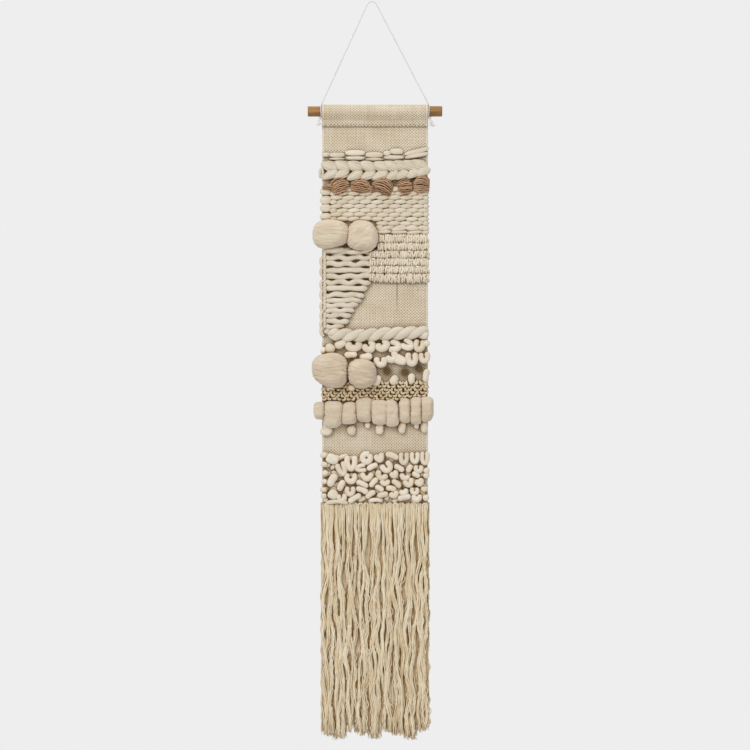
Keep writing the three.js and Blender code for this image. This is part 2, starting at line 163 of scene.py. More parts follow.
class Value:
    """A shader socket that takes part in ordinary sums."""

    def __init__(self, graph: "Graph", socket: bpy.types.NodeSocket | None) -> None:
        """Wraps one output socket of a graph, or none for a node that ends one."""
        self.graph = graph
        self.socket = socket

    def math(self, operation: str, *parts: "Value | float") -> "Value":
        """Adds one Math node.

        Args:
            operation: The Math node's operation.
            parts: Its inputs in order.

        Returns:
            The node's result.
        """
        return self.graph.node("ShaderNodeMath", {"operation": operation}, dict(enumerate(parts)))

    def __add__(self, other: "Value | float") -> "Value":
        """self + other."""
        return self.math("ADD", self, other)

    __radd__ = __add__

    def __sub__(self, other: "Value | float") -> "Value":
        """self - other."""
        return self.math("SUBTRACT", self, other)

    def __rsub__(self, other: "Value | float") -> "Value":
        """other - self."""
        return self.math("SUBTRACT", other, self)

    def __mul__(self, other: "Value | float") -> "Value":
        """self * other."""
        return self.math("MULTIPLY", self, other)

    __rmul__ = __mul__

    def __truediv__(self, other: "Value | float") -> "Value":
        """self / other."""
        return self.math("DIVIDE", self, other)

    def __pow__(self, other: "Value | float") -> "Value":
        """self ** other."""
        return self.math("POWER", self, other)

    def sine(self) -> "Value":
        """The sine of this value in radians."""
        return self.math("SINE", self)

    def size(self) -> "Value":
        """This value without its sign."""
        return self.math("ABSOLUTE", self)

    def ramp(self, low: float, high: float) -> "Value":
        """A smooth rise from 0 at low to 1 at high.

        Args:
            low: Where the rise starts.
            high: Where it ends.

        Returns:
            The eased value, kept between 0 and 1.
        """
        return self.graph.node(
            "ShaderNodeMapRange",
            {"interpolation_type": "SMOOTHSTEP"},
            {"Value": self, "From Min": low, "From Max": high},
        )


class Graph:
    """The nodes of one material or world, joined by Python sums."""

    def __init__(self, owner: bpy.types.Material | bpy.types.World) -> None:
        """Empties the node tree of a new material or world.

        Args:
            owner: The material or world.
        """
        self.owner = owner
        self.owner.use_nodes = True
        self.tree = self.owner.node_tree
        self.tree.nodes.clear()

    def node(
        self,
        kind: str,
        settings: Mapping[str, Any] | None = None,
        inputs: Mapping[str | int, Any] | None = None,
        output: str | int = 0,
    ) -> Value:
        """Adds a node.

        Args:
            kind: The node's type.
            settings: Its own settings, set before its sockets.
            inputs: Values or links by socket name or place.
            output: Which output to hand back.

        Returns:
            That output.
        """
        made = self.tree.nodes.new(kind)
        for key, setting in (settings or {}).items():
            setattr(made, key, setting)
        for key, given in (inputs or {}).items():
            if isinstance(given, Value):
                self.tree.links.new(given.socket, made.inputs[key])
            else:
                made.inputs[key].default_value = given
        return Value(self, made.outputs[output] if len(made.outputs) else None)

    def outputs(self, value: Value, *names: str) -> list[Value]:
        """Other outputs of the node that made a value."""
        return [Value(self, value.socket.node.outputs[name]) for name in names]

    def split(self, vector: Value) -> list[Value]:
        """The three parts of a vector."""
        parts = self.node("ShaderNodeSeparateXYZ", inputs={0: vector})
        return self.outputs(parts, "X", "Y", "Z")

    def join(self, x: Value | float, y: Value | float, z: Value | float) -> Value:
        """A vector of three parts."""
        return self.node("ShaderNodeCombineXYZ", inputs={0: x, 1: y, 2: z})

    def place(self) -> list[Value]:
        """The piece's own coordinates in metres."""
        return self.split(self.node("ShaderNodeTexCoord", output="Object"))

    def fibre(self) -> list[Value]:
        """How far along and how far round the yarn a point lies, in metres."""
        return self.split(self.node("ShaderNodeUVMap", {"uv_map": UV_FIBRE}))[:2]

    def tint(self) -> Value:
        """Each strand's own lightness, from -1 to 1. On the ground cloth, the amount of painted shadow and
        shade, from 0 to 1.

        Returns:
            That lightness.
        """
        return self.node("ShaderNodeAttribute", {"attribute_name": TINT}, output="Fac")

    def grain(self, vector: Value, scale: float, detail: float = 2.0) -> Value:
        """Cloudy noise.

        Args:
            vector: Where it is read.
            scale: How fine it is.
            detail: How many finer layers it has.

        Returns:
            A value about 0.5.
        """
        return self.node("ShaderNodeTexNoise", inputs={"Vector": vector, "Scale": scale, "Detail": detail})

    def mix(self, first: Any, second: Any, factor: Value | float, how: str = "MIX") -> Value:
        """Mixes two colours.

        Args:
            first: The colour at 0.
            second: The colour at 1.
            factor: How much of the second shows.
            how: The way they are mixed.

        Returns:
            The mixed colour.
        """
        return self.node(
            "ShaderNodeMix",
            {"data_type": "RGBA", "blend_type": how, "clamp_factor": True},
            {0: factor, 6: first, 7: second},
            output=2,
        )

    def hollows(self, reach: float) -> Value:
        """1 where a point is open to the room, and less down in the gaps.

        Args:
            reach: How far each point looks for cover, in metres.

        Returns:
            The openness.
        """
        return self.node("ShaderNodeAmbientOcclusion", {"samples": 6}, {"Distance": reach}, "AO")

    def bump(self, height: Value, depth: float, strength: float = 1.0) -> Value:
        """A normal from a height.

        Args:
            height: From 0 to 1.
            depth: How deep a step of 1 is, in metres.
            strength: How much of it shows.

        Returns:
            The normal.
        """
        return self.node(
            "ShaderNodeBump",
            inputs={"Strength": strength, "Distance": depth, "Height": height},
        )

    def finish(self, **sockets: Any) -> bpy.types.Material:
        """Adds the surface shader.

        Args:
            sockets: The shader's sockets by name, with _ for each space.

        Returns:
            The finished material.
        """
        inputs = {name.replace("_", " "): given for name, given in sockets.items()}
        surface = self.node("ShaderNodeBsdfPrincipled", inputs=inputs)
        self.node("ShaderNodeOutputMaterial", inputs={"Surface": surface})
        return self.owner


class Finish:
    """A surface that makes its material once and hands it out after that."""

    made: dict[str, bpy.types.Material] = {}
    name: str
    slot: str

    def material(self) -> bpy.types.Material:
        """This finish's material.

        Returns:
            The material, made at the first call.
        """
        if self.name not in Finish.made:
            Finish.made[self.name] = self.mixed(Graph(bpy.data.materials.new(self.name)))
        return Finish.made[self.name]

    def mixed(self, graph: Graph) -> bpy.types.Material:
        """Builds the material on an empty graph."""
        raise NotImplementedError


@dataclass(frozen=True)
class Spun(Finish):
    """Fibre drawn into roving, yarn or twine."""

    name: str
    slot: str
    light: Colour
    dark: Colour
    # painted shade: mixed in where ambient occlusion finds the yarn covered
    crevice_shade: Colour
    streaks: float = 900.0  # fibres per metre round the yarn
    drawn: float = 40.0  # how often a fibre starts, per metre along it
    twist: float = 0.35  # how far round the fibres run for each metre along
    plies: float = 0.0  # ply ridges per metre along the yarn
    relief: float = 0.35 * MM
    reach: float = 12 * MM
    gloom: float = 0.86
    fuzz: float = 0.25
    sorts: float = 0.2  # how much the strands differ

    def mixed(self, graph: Graph) -> bpy.types.Material:
        """Builds the material on an empty graph.

        Args:
            graph: The empty graph.

        Returns:
            The finished material.
        """
        along, around = graph.fibre()
        tint = graph.tint()
        spiral = around + along * self.twist
        line = graph.join(along * self.drawn, spiral * self.streaks, tint * 31)
        fibres = graph.grain(line, 1.0, 3.0)
        x, y, z = graph.place()
        spot = graph.join(x, y, z)
        clouds = graph.grain(spot, 38.0, 2.0)
        lint = graph.grain(spot, 1500.0, 1.0)
        tone = fibres.ramp(0.3, 0.7) * 0.42 + clouds.ramp(0.3, 0.7) * 0.3 + 0.16
        tone = tone + tint * self.sorts
        height = fibres * 0.7 + lint * 0.3
        if self.plies:
            ridge = ((along * self.plies + around * 160) * math.tau).sine().size()
            height = height * 0.4 + ridge ** 0.6
            # painted shade: the ply grooves are made darker and the crests lighter
            tone = tone + ridge.ramp(0.05, 0.5) * 0.3 - 0.25
        colour = graph.mix(self.dark, self.light, tone)
        # Painted shade: the crevice colour is mixed in where ambient occlusion finds the yarn covered.
        open_air = graph.hollows(self.reach).ramp(0.26, self.gloom)
        colour = graph.mix(self.crevice_shade, colour, open_air)
        return graph.finish(
            Base_Color=colour,
            Roughness=0.98 - fibres * 0.16,
            Normal=graph.bump(height, self.relief),
            Specular_IOR_Level=0.25,
            Sheen_Weight=self.fuzz,
            Sheen_Roughness=0.5,
        )


@dataclass(frozen=True)
class Felted(Finish):
    """Carded wool stuffed and felted into a soft skin."""

    name: str
    slot: str
    light: Colour
    dark: Colour
    # painted shade: mixed in where ambient occlusion finds the felt covered
    crevice_shade: Colour
    lie: tuple[float, float, float] = (22.0, 90.0, 150.0)  # how the hairs lie

    def mixed(self, graph: Graph) -> bpy.types.Material:
        """Builds the material on an empty graph.

        Args:
            graph: The empty graph.

        Returns:
            The finished material.
        """
        x, y, z = graph.place()
        spot = graph.join(x, y, z)
        drift = graph.grain(spot, 26.0, 2.0)
        across, inward, up = self.lie
        swept = graph.join(x * across, y * inward, z * up + drift * 3.2)
        hairs = graph.grain(swept, 1.0, 5.0)
        fine = graph.grain(graph.join(x * 260, y * 900, z * 1300), 1.0, 2.0)
        patches = graph.grain(spot, 16.0, 2.0)
        tone = hairs.ramp(0.32, 0.68) * 0.45 + fine * 0.25 + patches.ramp(0.3, 0.7) * 0.3
        colour = graph.mix(self.dark, self.light, tone)
        # Painted shade in the creases and under the cushion's edges, from ambient occlusion.
        open_air = graph.hollows(9 * MM).ramp(0.02, 0.7)
        colour = graph.mix(self.crevice_shade, colour, open_air)
        return graph.finish(
            Base_Color=colour,
            Roughness=1.0 - hairs * 0.14,
            Normal=graph.bump(hairs * 0.8 + fine * 0.3, 0.9 * MM),
            Specular_IOR_Level=0.15,
            Sheen_Weight=0.5,
            Sheen_Roughness=0.6,
        )


@dataclass(frozen=True)
class PlainWeave(Finish):
    """Hand-spun yarn woven over and under."""

    name: str
    slot: str
    light: Colour
    dark: Colour
    # painted shade between the yarns, in the stitch holes and in covered places
    gap_shade: Colour
    # painted shadow in the dents, beside the crease and over the band under the loops
    shadow_tone: Colour
    warp: float = 3.0 * MM
    weft: float = 2.7 * MM
    middle: float = 6 * MM  # the strip's middle line
    border: float = 94.8 * MM  # from the middle to the line of edge stitches

    def mixed(self, graph: Graph) -> bpy.types.Material:
        """Builds the material on an empty graph.

        Args:
            graph: The empty graph.

        Returns:
            The finished material.
        """
        across, up = graph.fibre()
        wander = graph.grain(graph.join(across * 40, up * 40, 0.0), 1.0, 2.0)
        across = across + (wander - 0.5) * 1.1 * MM
        cross = (across * (math.pi / self.warp)).sine() * ((up * (math.pi / self.weft)).sine())
        cords = graph.grain(graph.join(across / self.warp, up * 14, 3.0), 1.0, 1.0)
        picks = graph.grain(graph.join(across * 14, up / self.weft, 8.0), 1.0, 1.0)
        lint = graph.grain(graph.join(across * 1200, up * 1200, 0.0), 1.0, 2.0)
        patch = graph.grain(graph.join(across * 22, up * 22, 5.0), 1.0, 3.0)
        tone = cords.ramp(0.25, 0.75) * 0.3 + picks.ramp(0.25, 0.75) * 0.3
        # painted shade: cross * 0.12 makes the yarn crests lighter and the crossings darker
        tone = tone + patch.ramp(0.3, 0.7) * 0.3 + lint * 0.2 + cross * 0.12
        colour = graph.mix(self.dark, self.light, tone)
        # painted shade: the gaps between the yarns are darkened
        colour = graph.mix(self.gap_shade, colour, cross.ramp(-1.05, -0.1) * 0.76 + 0.24)
        edge = (graph.fibre()[0] - self.middle).size()
        colour = graph.mix(colour, self.light, edge.ramp(self.border, self.border + MM) * 0.4)
        # painted shade in the holes along the line of edge stitches
        line = 1 - (edge - self.border).size().ramp(0.3 * MM, 1.1 * MM)
        dots = (up * (math.tau / (4.3 * MM))).sine().ramp(-0.3, 0.5)
        colour = graph.mix(colour, self.gap_shade, line * dots * 0.75)
        # painted shade where ambient occlusion finds the cloth covered
        open_air = graph.hollows(12 * MM).ramp(0.05, 0.95)
        colour = graph.mix(self.gap_shade, colour, open_air)
        # painted shadow and shade from the tint attribute: the soft dents, one side of the crease and the
        # band between rope and boucle
        colour = graph.mix(colour, self.shadow_tone, graph.tint() * (0.95 - cross * 0.12))
        height = cross * 0.4 + lint * 0.25 + cords * 0.2 + picks * 0.2
        return graph.finish(
            Base_Color=colour,
            Roughness=0.97 - lint * 0.1,
            Normal=graph.bump(height, 0.9 * MM, 0.9),
            Specular_IOR_Level=0.2,
            Sheen_Weight=0.2,
            Sheen_Roughness=0.5,
        )


@dataclass(frozen=True)
class Wood(Finish):
    """Oiled wood with its grain along X."""

    name: str
    slot: str
    light: Colour
    dark: Colour
    ends: float  # how far the cut ends lie from the middle, in metres
    middle: float

    def mixed(self, graph: Graph) -> bpy.types.Material:
        """Builds the material on an empty graph.

        Args:
            graph: The empty graph.

        Returns:
            The finished material.
        """
        x, y, z = graph.place()
        bend = graph.grain(graph.join(x * 9, y * 60, z * 60), 1.0, 2.0)
        streak = graph.grain(graph.join(x * 14, y * 420, z * 420 + bend * 3), 1.0, 4.0)
        rings = ((z * 900 + y * 500 + bend * 9).sine() + 1) * 0.5
        pores = graph.grain(graph.join(x * 160, y * 2600, z * 2600), 1.0, 1.0)
        tone = streak.ramp(0.3, 0.7) * 0.6 + rings * 0.25 + bend * 0.2
        colour = graph.mix(self.dark, self.light, tone)
        colour = graph.mix(colour, self.dark, pores.ramp(0.6, 0.75) * 0.6)
        cut = (x - self.middle).size().ramp(self.ends - 2 * MM, self.ends)
        colour = graph.mix(colour, self.dark, cut * 0.45)
        return graph.finish(
            Base_Color=colour,
            Roughness=0.5 + pores * 0.25,
            Normal=graph.bump(streak * 0.6 + pores * 0.5, 0.25 * MM, 0.8),
            Specular_IOR_Level=0.4,
        )


@dataclass(frozen=True)
class Painted(Finish):
    """A matt painted floor."""

    name: str
    slot: str
    light: Colour
    speck: Colour = shade(244, 244, 243)

    def mixed(self, graph: Graph) -> bpy.types.Material:
        """Builds the material on an empty graph.

        Args:
            graph: The empty graph.

        Returns:
            The finished material.
        """
        x, y, z = graph.place()
        stipple = graph.grain(graph.join(x, y, z), 60.0, 3.0)
        colour = graph.mix(self.light, self.speck, stipple.ramp(0.3, 0.7))
        return graph.finish(Base_Color=colour, Roughness=0.85 + stipple * 0.1, Specular_IOR_Level=0.2)


# Painted shade: the next colour and the third colour of each Spun and Felted finish are mixed in where
# ambient occlusion finds the surface covered.
CREVICE_SHADE = shade(160, 116, 28)
ROVING = Spun("roving_wool", "roving", shade(236, 226, 206), shade(212, 197, 168),
              shade(104, 74, 28), streaks=700, drawn=30, twist=0.12, relief=0.5 * MM,
              gloom=1.0)
SOFT_ROVING = Spun("soft_roving", "roving", shade(235, 225, 206), shade(208, 193, 166),
                   CREVICE_SHADE, streaks=600, drawn=26, twist=0.1, relief=0.6 * MM)
KNOT_WOOL = Spun("knotted_wool", "roving", shade(245, 234, 213), shade(220, 203, 172),
                 shade(120, 84, 28), streaks=1100, drawn=50, twist=0.3,
                 relief=0.45 * MM, reach=9 * MM, gloom=0.92)
LOOP_WOOL = Spun("felted_cord", "loop_yarn", shade(245, 235, 217), shade(222, 205, 176),
                 shade(172, 128, 34), streaks=420, drawn=60, twist=0.5, relief=0.3 * MM,
                 fuzz=0.45)
ROSE_WOOL = Spun("rose_wool", "rose_yarn", shade(226, 184, 144), shade(146, 102, 62),
                 shade(66, 36, 10), streaks=1500, drawn=90, twist=0.9, plies=190,
                 relief=0.4 * MM, reach=5 * MM)
JUTE = Spun("jute_boucle", "jute_yarn", shade(240, 222, 188), shade(196, 170, 126),
            shade(132, 90, 30), streaks=1500, drawn=120, twist=0.8, plies=120,
            relief=0.4 * MM, reach=5 * MM, gloom=0.85)
FRINGE_WOOL = Spun("fringe_wool", "fringe_yarn", shade(255, 246, 220), shade(224, 200, 156),
                   shade(198, 154, 86), streaks=1600, drawn=110, twist=0.7, plies=150,
                   relief=0.25 * MM, reach=8 * MM, gloom=0.8, sorts=0.3)
TWINE = Spun("cotton_twine", "twine", shade(240, 238, 232), shade(214, 210, 200),
             shade(150, 142, 126), streaks=2500, drawn=200, twist=1.0, relief=0.1 * MM,
             reach=3 * MM)
THREAD = Spun("sewing_thread", "stitch_thread", shade(228, 216, 190), shade(198, 182, 150),
              shade(100, 78, 44), streaks=4000, drawn=300, twist=1.0, relief=0.05 * MM)
FELT = Felted("carded_felt", "felt", shade(231, 215, 190), shade(206, 186, 156), shade(168, 122, 56))
# A darker copy of the felt for the two lower cushions: partly their tan tone, partly painted shade.
TAN_AND_SHADE_FELT = replace(FELT, name="tan_and_shade_felt", light=shade(229, 212, 186), dark=shade(199, 177, 146))
# The cloth's last two colours are painted shade between its yarns and painted shadow in its dents, beside
# its crease and over the band under the loops.
CLOTH = PlainWeave("ground_weave", "twill_cloth", shade(241, 229, 208),
                   shade(208, 190, 156), shade(132, 92, 36), shade(98, 70, 26))


# ---- lines and yarn


def unit(vectors: Points) -> Points:
    """These vectors at a length of 1."""
    return vectors / np.maximum(np.linalg.norm(vectors, axis=-1, keepdims=True), 1e-12)


def even_steps(line: Points, count: int) -> Points:
    """The same line with its points evenly apart.

    Args:
        line: Points along the line.
        count: How many points to give back.

    Returns:
        Points of equal spacing.
    """
    steps = np.linalg.norm(np.diff(line, axis=0), axis=1)
    along = np.concatenate([[0.0], np.cumsum(steps)])
    wanted = np.linspace(0, along[-1], count)
    return np.stack([np.interp(wanted, along, line[:, k]) for k in range(3)], axis=1)


def smooth_line(knots: Sequence[Sequence[float]], count: int) -> Points:
    """A centripetal curve through these points.

    Args:
        knots: The points it goes through.
        count: How many points to give back.

    Returns:
        Evenly spaced points along the curve.
    """
    held = np.asarray(knots, float)
    held = np.vstack([2 * held[0] - held[1], held, 2 * held[-1] - held[-2]])
    parts = []
    for a, b, c, d in zip(held[:-3], held[1:-2], held[2:-1], held[3:]):
        ta = 0.0
        tb = ta + math.sqrt(max(np.linalg.norm(b - a), 1e-9))
        tc = tb + math.sqrt(max(np.linalg.norm(c - b), 1e-9))
        td = tc + math.sqrt(max(np.linalg.norm(d - c), 1e-9))
        t = np.linspace(tb, tc, 14, endpoint=False)[:, None]
        ab = (tb - t) / (tb - ta) * a + (t - ta) / (tb - ta) * b
        bc = (tc - t) / (tc - tb) * b + (t - tb) / (tc - tb) * c
        cd = (td - t) / (td - tc) * c + (t - tc) / (td - tc) * d
        abc = (tc - t) / (tc - ta) * ab + (t - ta) / (tc - ta) * bc
        bcd = (td - t) / (td - tb) * bc + (t - tb) / (td - tb) * cd
        parts.append((tc - t) / (tc - tb) * abc + (t - tb) / (tc - tb) * bcd)
    return even_steps(np.vstack([*parts, held[-2:-1]]), count)


def sway(rng: Chance, steps: Points, waves: Iterable[float]) -> Points:
    """A gentle wander made of a few waves.

    Args:
        rng: The yarn's own chance.
        steps: Where along the line, in metres.
        waves: The waves' lengths in metres.

    Returns:
        Offsets of about 1 either way.
    """
    total = np.zeros_like(steps)
    for length in waves:
        turn = rng.uniform(0, math.tau)
        total = total + rng.uniform(0.5, 1.0) * np.sin(steps / length * math.tau + turn)
    return total


def rounded(line: Points, radius: float, ends: float = 1.0) -> Points:
    """Half widths of a run with domed ends.

    Args:
        line: The run's points.
        radius: Its half width in the middle.
        ends: How long each dome is, in radii.

    Returns:
        One half width for each point.
    """
    steps = np.linalg.norm(np.diff(line, axis=0), axis=1)
    along = np.concatenate([[0.0], np.cumsum(steps)])
    from_end = np.minimum(along, along[-1] - along)
    part = np.clip(1 - from_end / max(radius * ends, 1e-9), 0, 1)
    return radius * np.sqrt(np.maximum(1 - part**2, 0.02))


def lens(count: int, radius: float, fullness: float = 0.55) -> Points:
    """Half widths of a float that swells between two dips into the cloth.

    Args:
        count: How many points it has.
        radius: Its half width in the middle.
        fullness: Low for a full float, and high for a pointed one.

    Returns:
        One half width for each point.
    """
    t = np.linspace(0, math.pi, count)
    return radius * np.maximum(np.sin(t), 0.0) ** fullness * 0.94 + radius * 0.06


def crowded_ends(count: int) -> Points:
    """Steps from 0 to 1 that lie closer at both ends."""
    even = np.linspace(0, 1, count)
    return 0.35 * even + 0.65 * (1 - np.cos(math.pi * even)) / 2


class Skein:
    """Yarn runs gathered into one mesh."""

    def __init__(self, name: str, finish: Finish) -> None:
        """Starts an empty skein.

        Args:
            name: The piece's name.
            finish: What it is made of.
        """
        self.name = name
        self.finish = finish
        self.points: list[Points] = []
        self.tints: list[Points] = []
        self.corners: list[Points] = []
        self.sides: list[Points] = []
        self.spread: list[Points] = []
        self.count = 0

    def lay(
        self,
        lines: Points,
        width: Points | float,
        depth: Points | float | None = None,
        tints: Points | float = 0.0,
        sides: int = 8,
        plies: int = 0,
        pitch: float = 1.0,
        groove: float = 0.12,
        facing: Sequence[float] = VIEWER,
        steady: bool = False,
    ) -> None:
        """Lays one run, or several of the same number of points.

        Args:
            lines: Points (n, 3), or (runs, n, 3).
            width: Half widths across the view.
            depth: Half widths towards the viewer, or None for round yarn.
            tints: Each run's lightness.
            sides: How many sides the yarn has.
            plies: How many plies show, or 0 for smooth yarn.
            pitch: How far along one ply turns once.
            groove: How deep the plies' grooves are.
            facing: The direction that depth is measured towards.
            steady: Whether the run's flat side always faces that way.
        """
        lines = np.asarray(lines, float)
        lines = lines[None] if lines.ndim == 2 else lines
        runs, n = lines.shape[:2]
        half = np.broadcast_to(np.asarray(width, float), (runs, n))
        deep = half if depth is None else np.broadcast_to(np.asarray(depth, float), (runs, n))
        tangent = unit(np.gradient(lines, axis=1))
        side = np.cross(tangent[:, 0], np.asarray(facing, float))
        weak = np.linalg.norm(side, axis=1) < 0.05
        side[weak] = np.cross(tangent[weak, 0], (1.0, 0.0, 0.3))
        across = np.empty_like(lines)
        across[:, 0] = unit(side)
        for i in range(1, n):
            t = tangent[:, i]
            flat = across[:, i - 1] - (across[:, i - 1] * t).sum(-1, keepdims=True) * t
            across[:, i] = unit(flat)
        if steady:
            across = unit(np.cross(tangent, np.asarray(facing, float)))
        up = np.cross(across, tangent)
        steps = np.linalg.norm(np.diff(lines, axis=1), axis=2)
        along = np.concatenate([np.zeros((runs, 1)), np.cumsum(steps, axis=1)], axis=1)
        angle = -math.pi / 2 + np.arange(sides) / sides * math.tau
        turn = angle[None, None] * plies - along[..., None] / pitch * math.tau * plies
        swell = 1 + (groove * (np.abs(np.cos(turn / 2)) * 2 - 1) if plies else 0 * turn)
        ring = (
            lines[:, :, None]
            + across[:, :, None] * (half[..., None] * np.cos(angle) * swell)[..., None]
            + up[:, :, None] * (deep[..., None] * np.sin(angle) * swell)[..., None]
        )
        self.points.append(ring.reshape(-1, 3))
        tint = np.broadcast_to(np.asarray(tints, float), (runs,))
        self.tints.append(np.repeat(tint, n * sides))
        self._face(runs, n, sides, along, half)

    def _face(self, runs: int, n: int, sides: int, along: Points, half: Points) -> None:
        """Skins the runs that were just laid, with an end face at each tip.

        Args:
            runs: How many runs there are.
            n: How many points each has.
            sides: How many sides the yarn has.
            along: How far along each point lies.
            half: Half widths.
        """
        run = np.arange(runs)[:, None, None] * n * sides + self.count
        i = np.arange(n - 1)[None, :, None] * sides
        k = np.arange(sides)[None, None]
        after = (k + 1) % sides
        quads = np.stack(
            np.broadcast_arrays(run + i + k, run + i + sides + k,
                                run + i + sides + after, run + i + after), axis=-1
        )
        girth = np.broadcast_to(half.max(axis=1)[:, None, None] * math.tau, quads.shape[:3])
        here = np.broadcast_to(along[:, :-1, None], quads.shape[:3])
        there = np.broadcast_to(along[:, 1:, None], quads.shape[:3])
        left = np.broadcast_to(k / sides, quads.shape[:3]) * girth
        right = left + girth / sides
        u = np.stack([here, there, there, here], axis=-1)
        v = np.stack([left, left, right, right], axis=-1)
        self.corners.append(quads.reshape(-1))
        self.sides.append(np.full(quads.size // 4, 4))
        self.spread.append(np.stack([u, v], axis=-1).reshape(-1, 2))
        first = (run[:, 0] + np.arange(sides)[None]).reshape(-1)
        last = (run[:, 0] + (n - 1) * sides + np.arange(sides)[::-1][None]).reshape(-1)
        for end, place in ((first, along[:, 0]), (last, along[:, -1])):
            self.corners.append(end)
            self.sides.append(np.full(runs, sides))
            flat = np.repeat(place, sides)
            self.spread.append(np.stack([flat, np.zeros_like(flat)], axis=-1))
        self.count += runs * n * sides

    def skin(self, points: Points, faces: Points, spread: Points, tints: Points) -> None:
        """Adds a ready mesh of four-sided faces.

        Args:
            points: Its points.
            faces: Four places in points for each face.
            spread: Each point's place on the fibre map, in metres.
            tints: Each point's own tint.
        """
        self.points.append(points)
        self.tints.append(tints)
        self.corners.append((faces + self.count).reshape(-1))
        self.sides.append(np.full(len(faces), 4))
        self.spread.append(spread[faces.reshape(-1)])
        self.count += len(points)

    def made(self) -> bpy.types.Object:
        """The finished piece, dressed and smooth.

        Returns:
            A new object in the scene.
        """
        mesh = bpy.data.meshes.new(self.name)
        points = np.vstack(self.points)
        corners = np.concatenate(self.corners)
        sides = np.concatenate(self.sides)
        mesh.vertices.add(len(points))
        mesh.vertices.foreach_set("co", points.astype(np.float32).ravel())
        mesh.loops.add(len(corners))
        mesh.loops.foreach_set("vertex_index", corners.astype(np.int32))
        mesh.polygons.add(len(sides))
        starts = np.concatenate([[0], np.cumsum(sides)[:-1]])
        mesh.polygons.foreach_set("loop_start", starts.astype(np.int32))
        mesh.update(calc_edges=True)
        spread = mesh.uv_layers.new(name=UV_FIBRE)
        spread.data.foreach_set("uv", np.vstack(self.spread).astype(np.float32).ravel())
        tint = mesh.attributes.new(TINT, "FLOAT", "POINT")
        tint.data.foreach_set("value", np.concatenate(self.tints).astype(np.float32))
        mesh.shade_smooth()
        piece = bpy.data.objects.new(self.name, mesh)
        bpy.context.scene.collection.objects.link(piece)
        mesh.materials.append(self.finish.material())
        return piece


def report(piece: bpy.types.Object) -> bpy.types.Object:
    """Notes a finished piece in the log and hands it back.

    Args:
        piece: The finished piece.

    Returns:
        The piece.
    """
    faces = len(piece.data.polygons) if piece.type == "MESH" else 0
    LOG.info("%s: %d faces", piece.name, faces)
    return piece


def ridden(piece: bpy.types.Object, body: str, *nodes: str) -> bpy.types.Object:
    """Rides a piece on a body in place of frame nodes.

    Args:
        piece: The finished piece.
        body: The body it moves with.
        nodes: The nodes it stands for.

    Returns:
        The piece.
    """
    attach(piece, body)
    if nodes:
        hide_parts(*nodes)
    return report(piece)


CLOTH_ROOM = Room.of("upper_cloth")
CLOTH_FRONT = CLOTH_ROOM.front


def across(u: float) -> float:
    """The place this many millimetres from the cloth's left edge."""
    return CLOTH_ROOM.left + u * MM


# ---- cord, knots, dowel


@dataclass
class HangingCord:
    """Two-ply twine from one end of the dowel over the hook to the other."""

    diameter: float = 2 * MM
    length: float = 0.437
    turns: int = 1
    tails: int = 5
    route: Sequence[tuple[float, float]] = (
        (-95.3, -193.9), (-78, -156), (-60.6, -118.1), (-43.3, -80.3), (-25.9, -42.4),
        (-12.9, -14), (-8.6, -4.5), (-6.1, -1.2), (-3.25, 0.43), (0, 1), (3.25, 0.43),
        (6.1, -1.2), (8.4, -4.1), (13.3, -13.6), (28.2, -42.1), (48, -80), (67.7, -118),
        (87.5, -155.9), (107.3, -193.9),
    )

    def build(self) -> None:
        """Makes the cord and the knot at each end."""
        path = smooth_line([(x * MM, 0.0, z * MM) for x, z in self.route], 560)
        twine = Skein("twine_cord", TWINE)
        twine.lay(path, self.diameter * 0.52, sides=12, plies=2, pitch=3.4 * MM, groove=0.2)
        cord = ridden(twine.made(), "hanger", "hanging_cord")
        knots = [self._knot(-1, "left_cord_knot"), self._knot(1, "right_cord_knot")]

    def _knot(self, way: int, node: str) -> bpy.types.Object:
        """The cord's turns round the dowel, its knot and its frayed tails.

        Args:
            way: -1 at the left end and 1 at the right.
            node: The frame node it stands for.

        Returns:
            The finished knot.
        """
        rng = chance(Seed.CORD_KNOT + way)
        wood = Room.of("dowel")
        end = self.route[0] if way < 0 else self.route[-1]
        x, middle = end[0] * MM, (wood.top + wood.bottom) / 2
        radius = wood.height / 2 + self.diameter * 0.55
        yarn = Skein(f"{node}_twine", TWINE)
        turn = np.linspace(0, self.turns, 90)
        angle = math.pi / 2 + turn * math.tau
        coil = np.stack([x + way * (turn - 0.5) * self.diameter * 1.02,
                         -np.cos(angle) * radius, middle + np.sin(angle) * radius], axis=1)
        lead = np.array([[x, 0.0, end[1] * MM]])
        yarn.lay(even_steps(np.vstack([lead, coil]), 150), self.diameter * 0.5, sides=10,
                 plies=2, pitch=3.4 * MM, groove=0.18)
        t = np.linspace(0, math.tau * 1.06, 46)
        centre = np.array([x + way * 2 * MM, -5 * MM, middle - radius - 1.6 * MM])
        hitch = centre + np.stack([np.sin(t) + 2 * np.sin(2 * t), -np.sin(3 * t) * 1.2,
                                   np.cos(t) - 2 * np.cos(2 * t)], axis=1) * 0.85 * MM
        yarn.lay(hitch, self.diameter * 0.5, sides=10, plies=2, pitch=3.4 * MM)
        for _ in range(self.tails):
            reach = rng.uniform(12, 18) * MM
            lean = way * rng.uniform(0.05, 0.55)
            s = np.linspace(0, 1, 20)
            curl = way * np.sin(s * rng.uniform(3.5, 7.5)) * rng.uniform(1.5, 3.4) * MM
            tail = centre + np.stack([s * reach * lean + curl * s,
                                      -2 * MM * s + sway(rng, s, (0.7,)) * 0.6 * MM,
                                      -s * reach * 0.95], axis=1)
            yarn.lay(tail, 1.15 * MM * (1 + 0.25 * s), sides=7, tints=rng.uniform(-0.3, 1))
        return ridden(yarn.made(), "hanger", node)


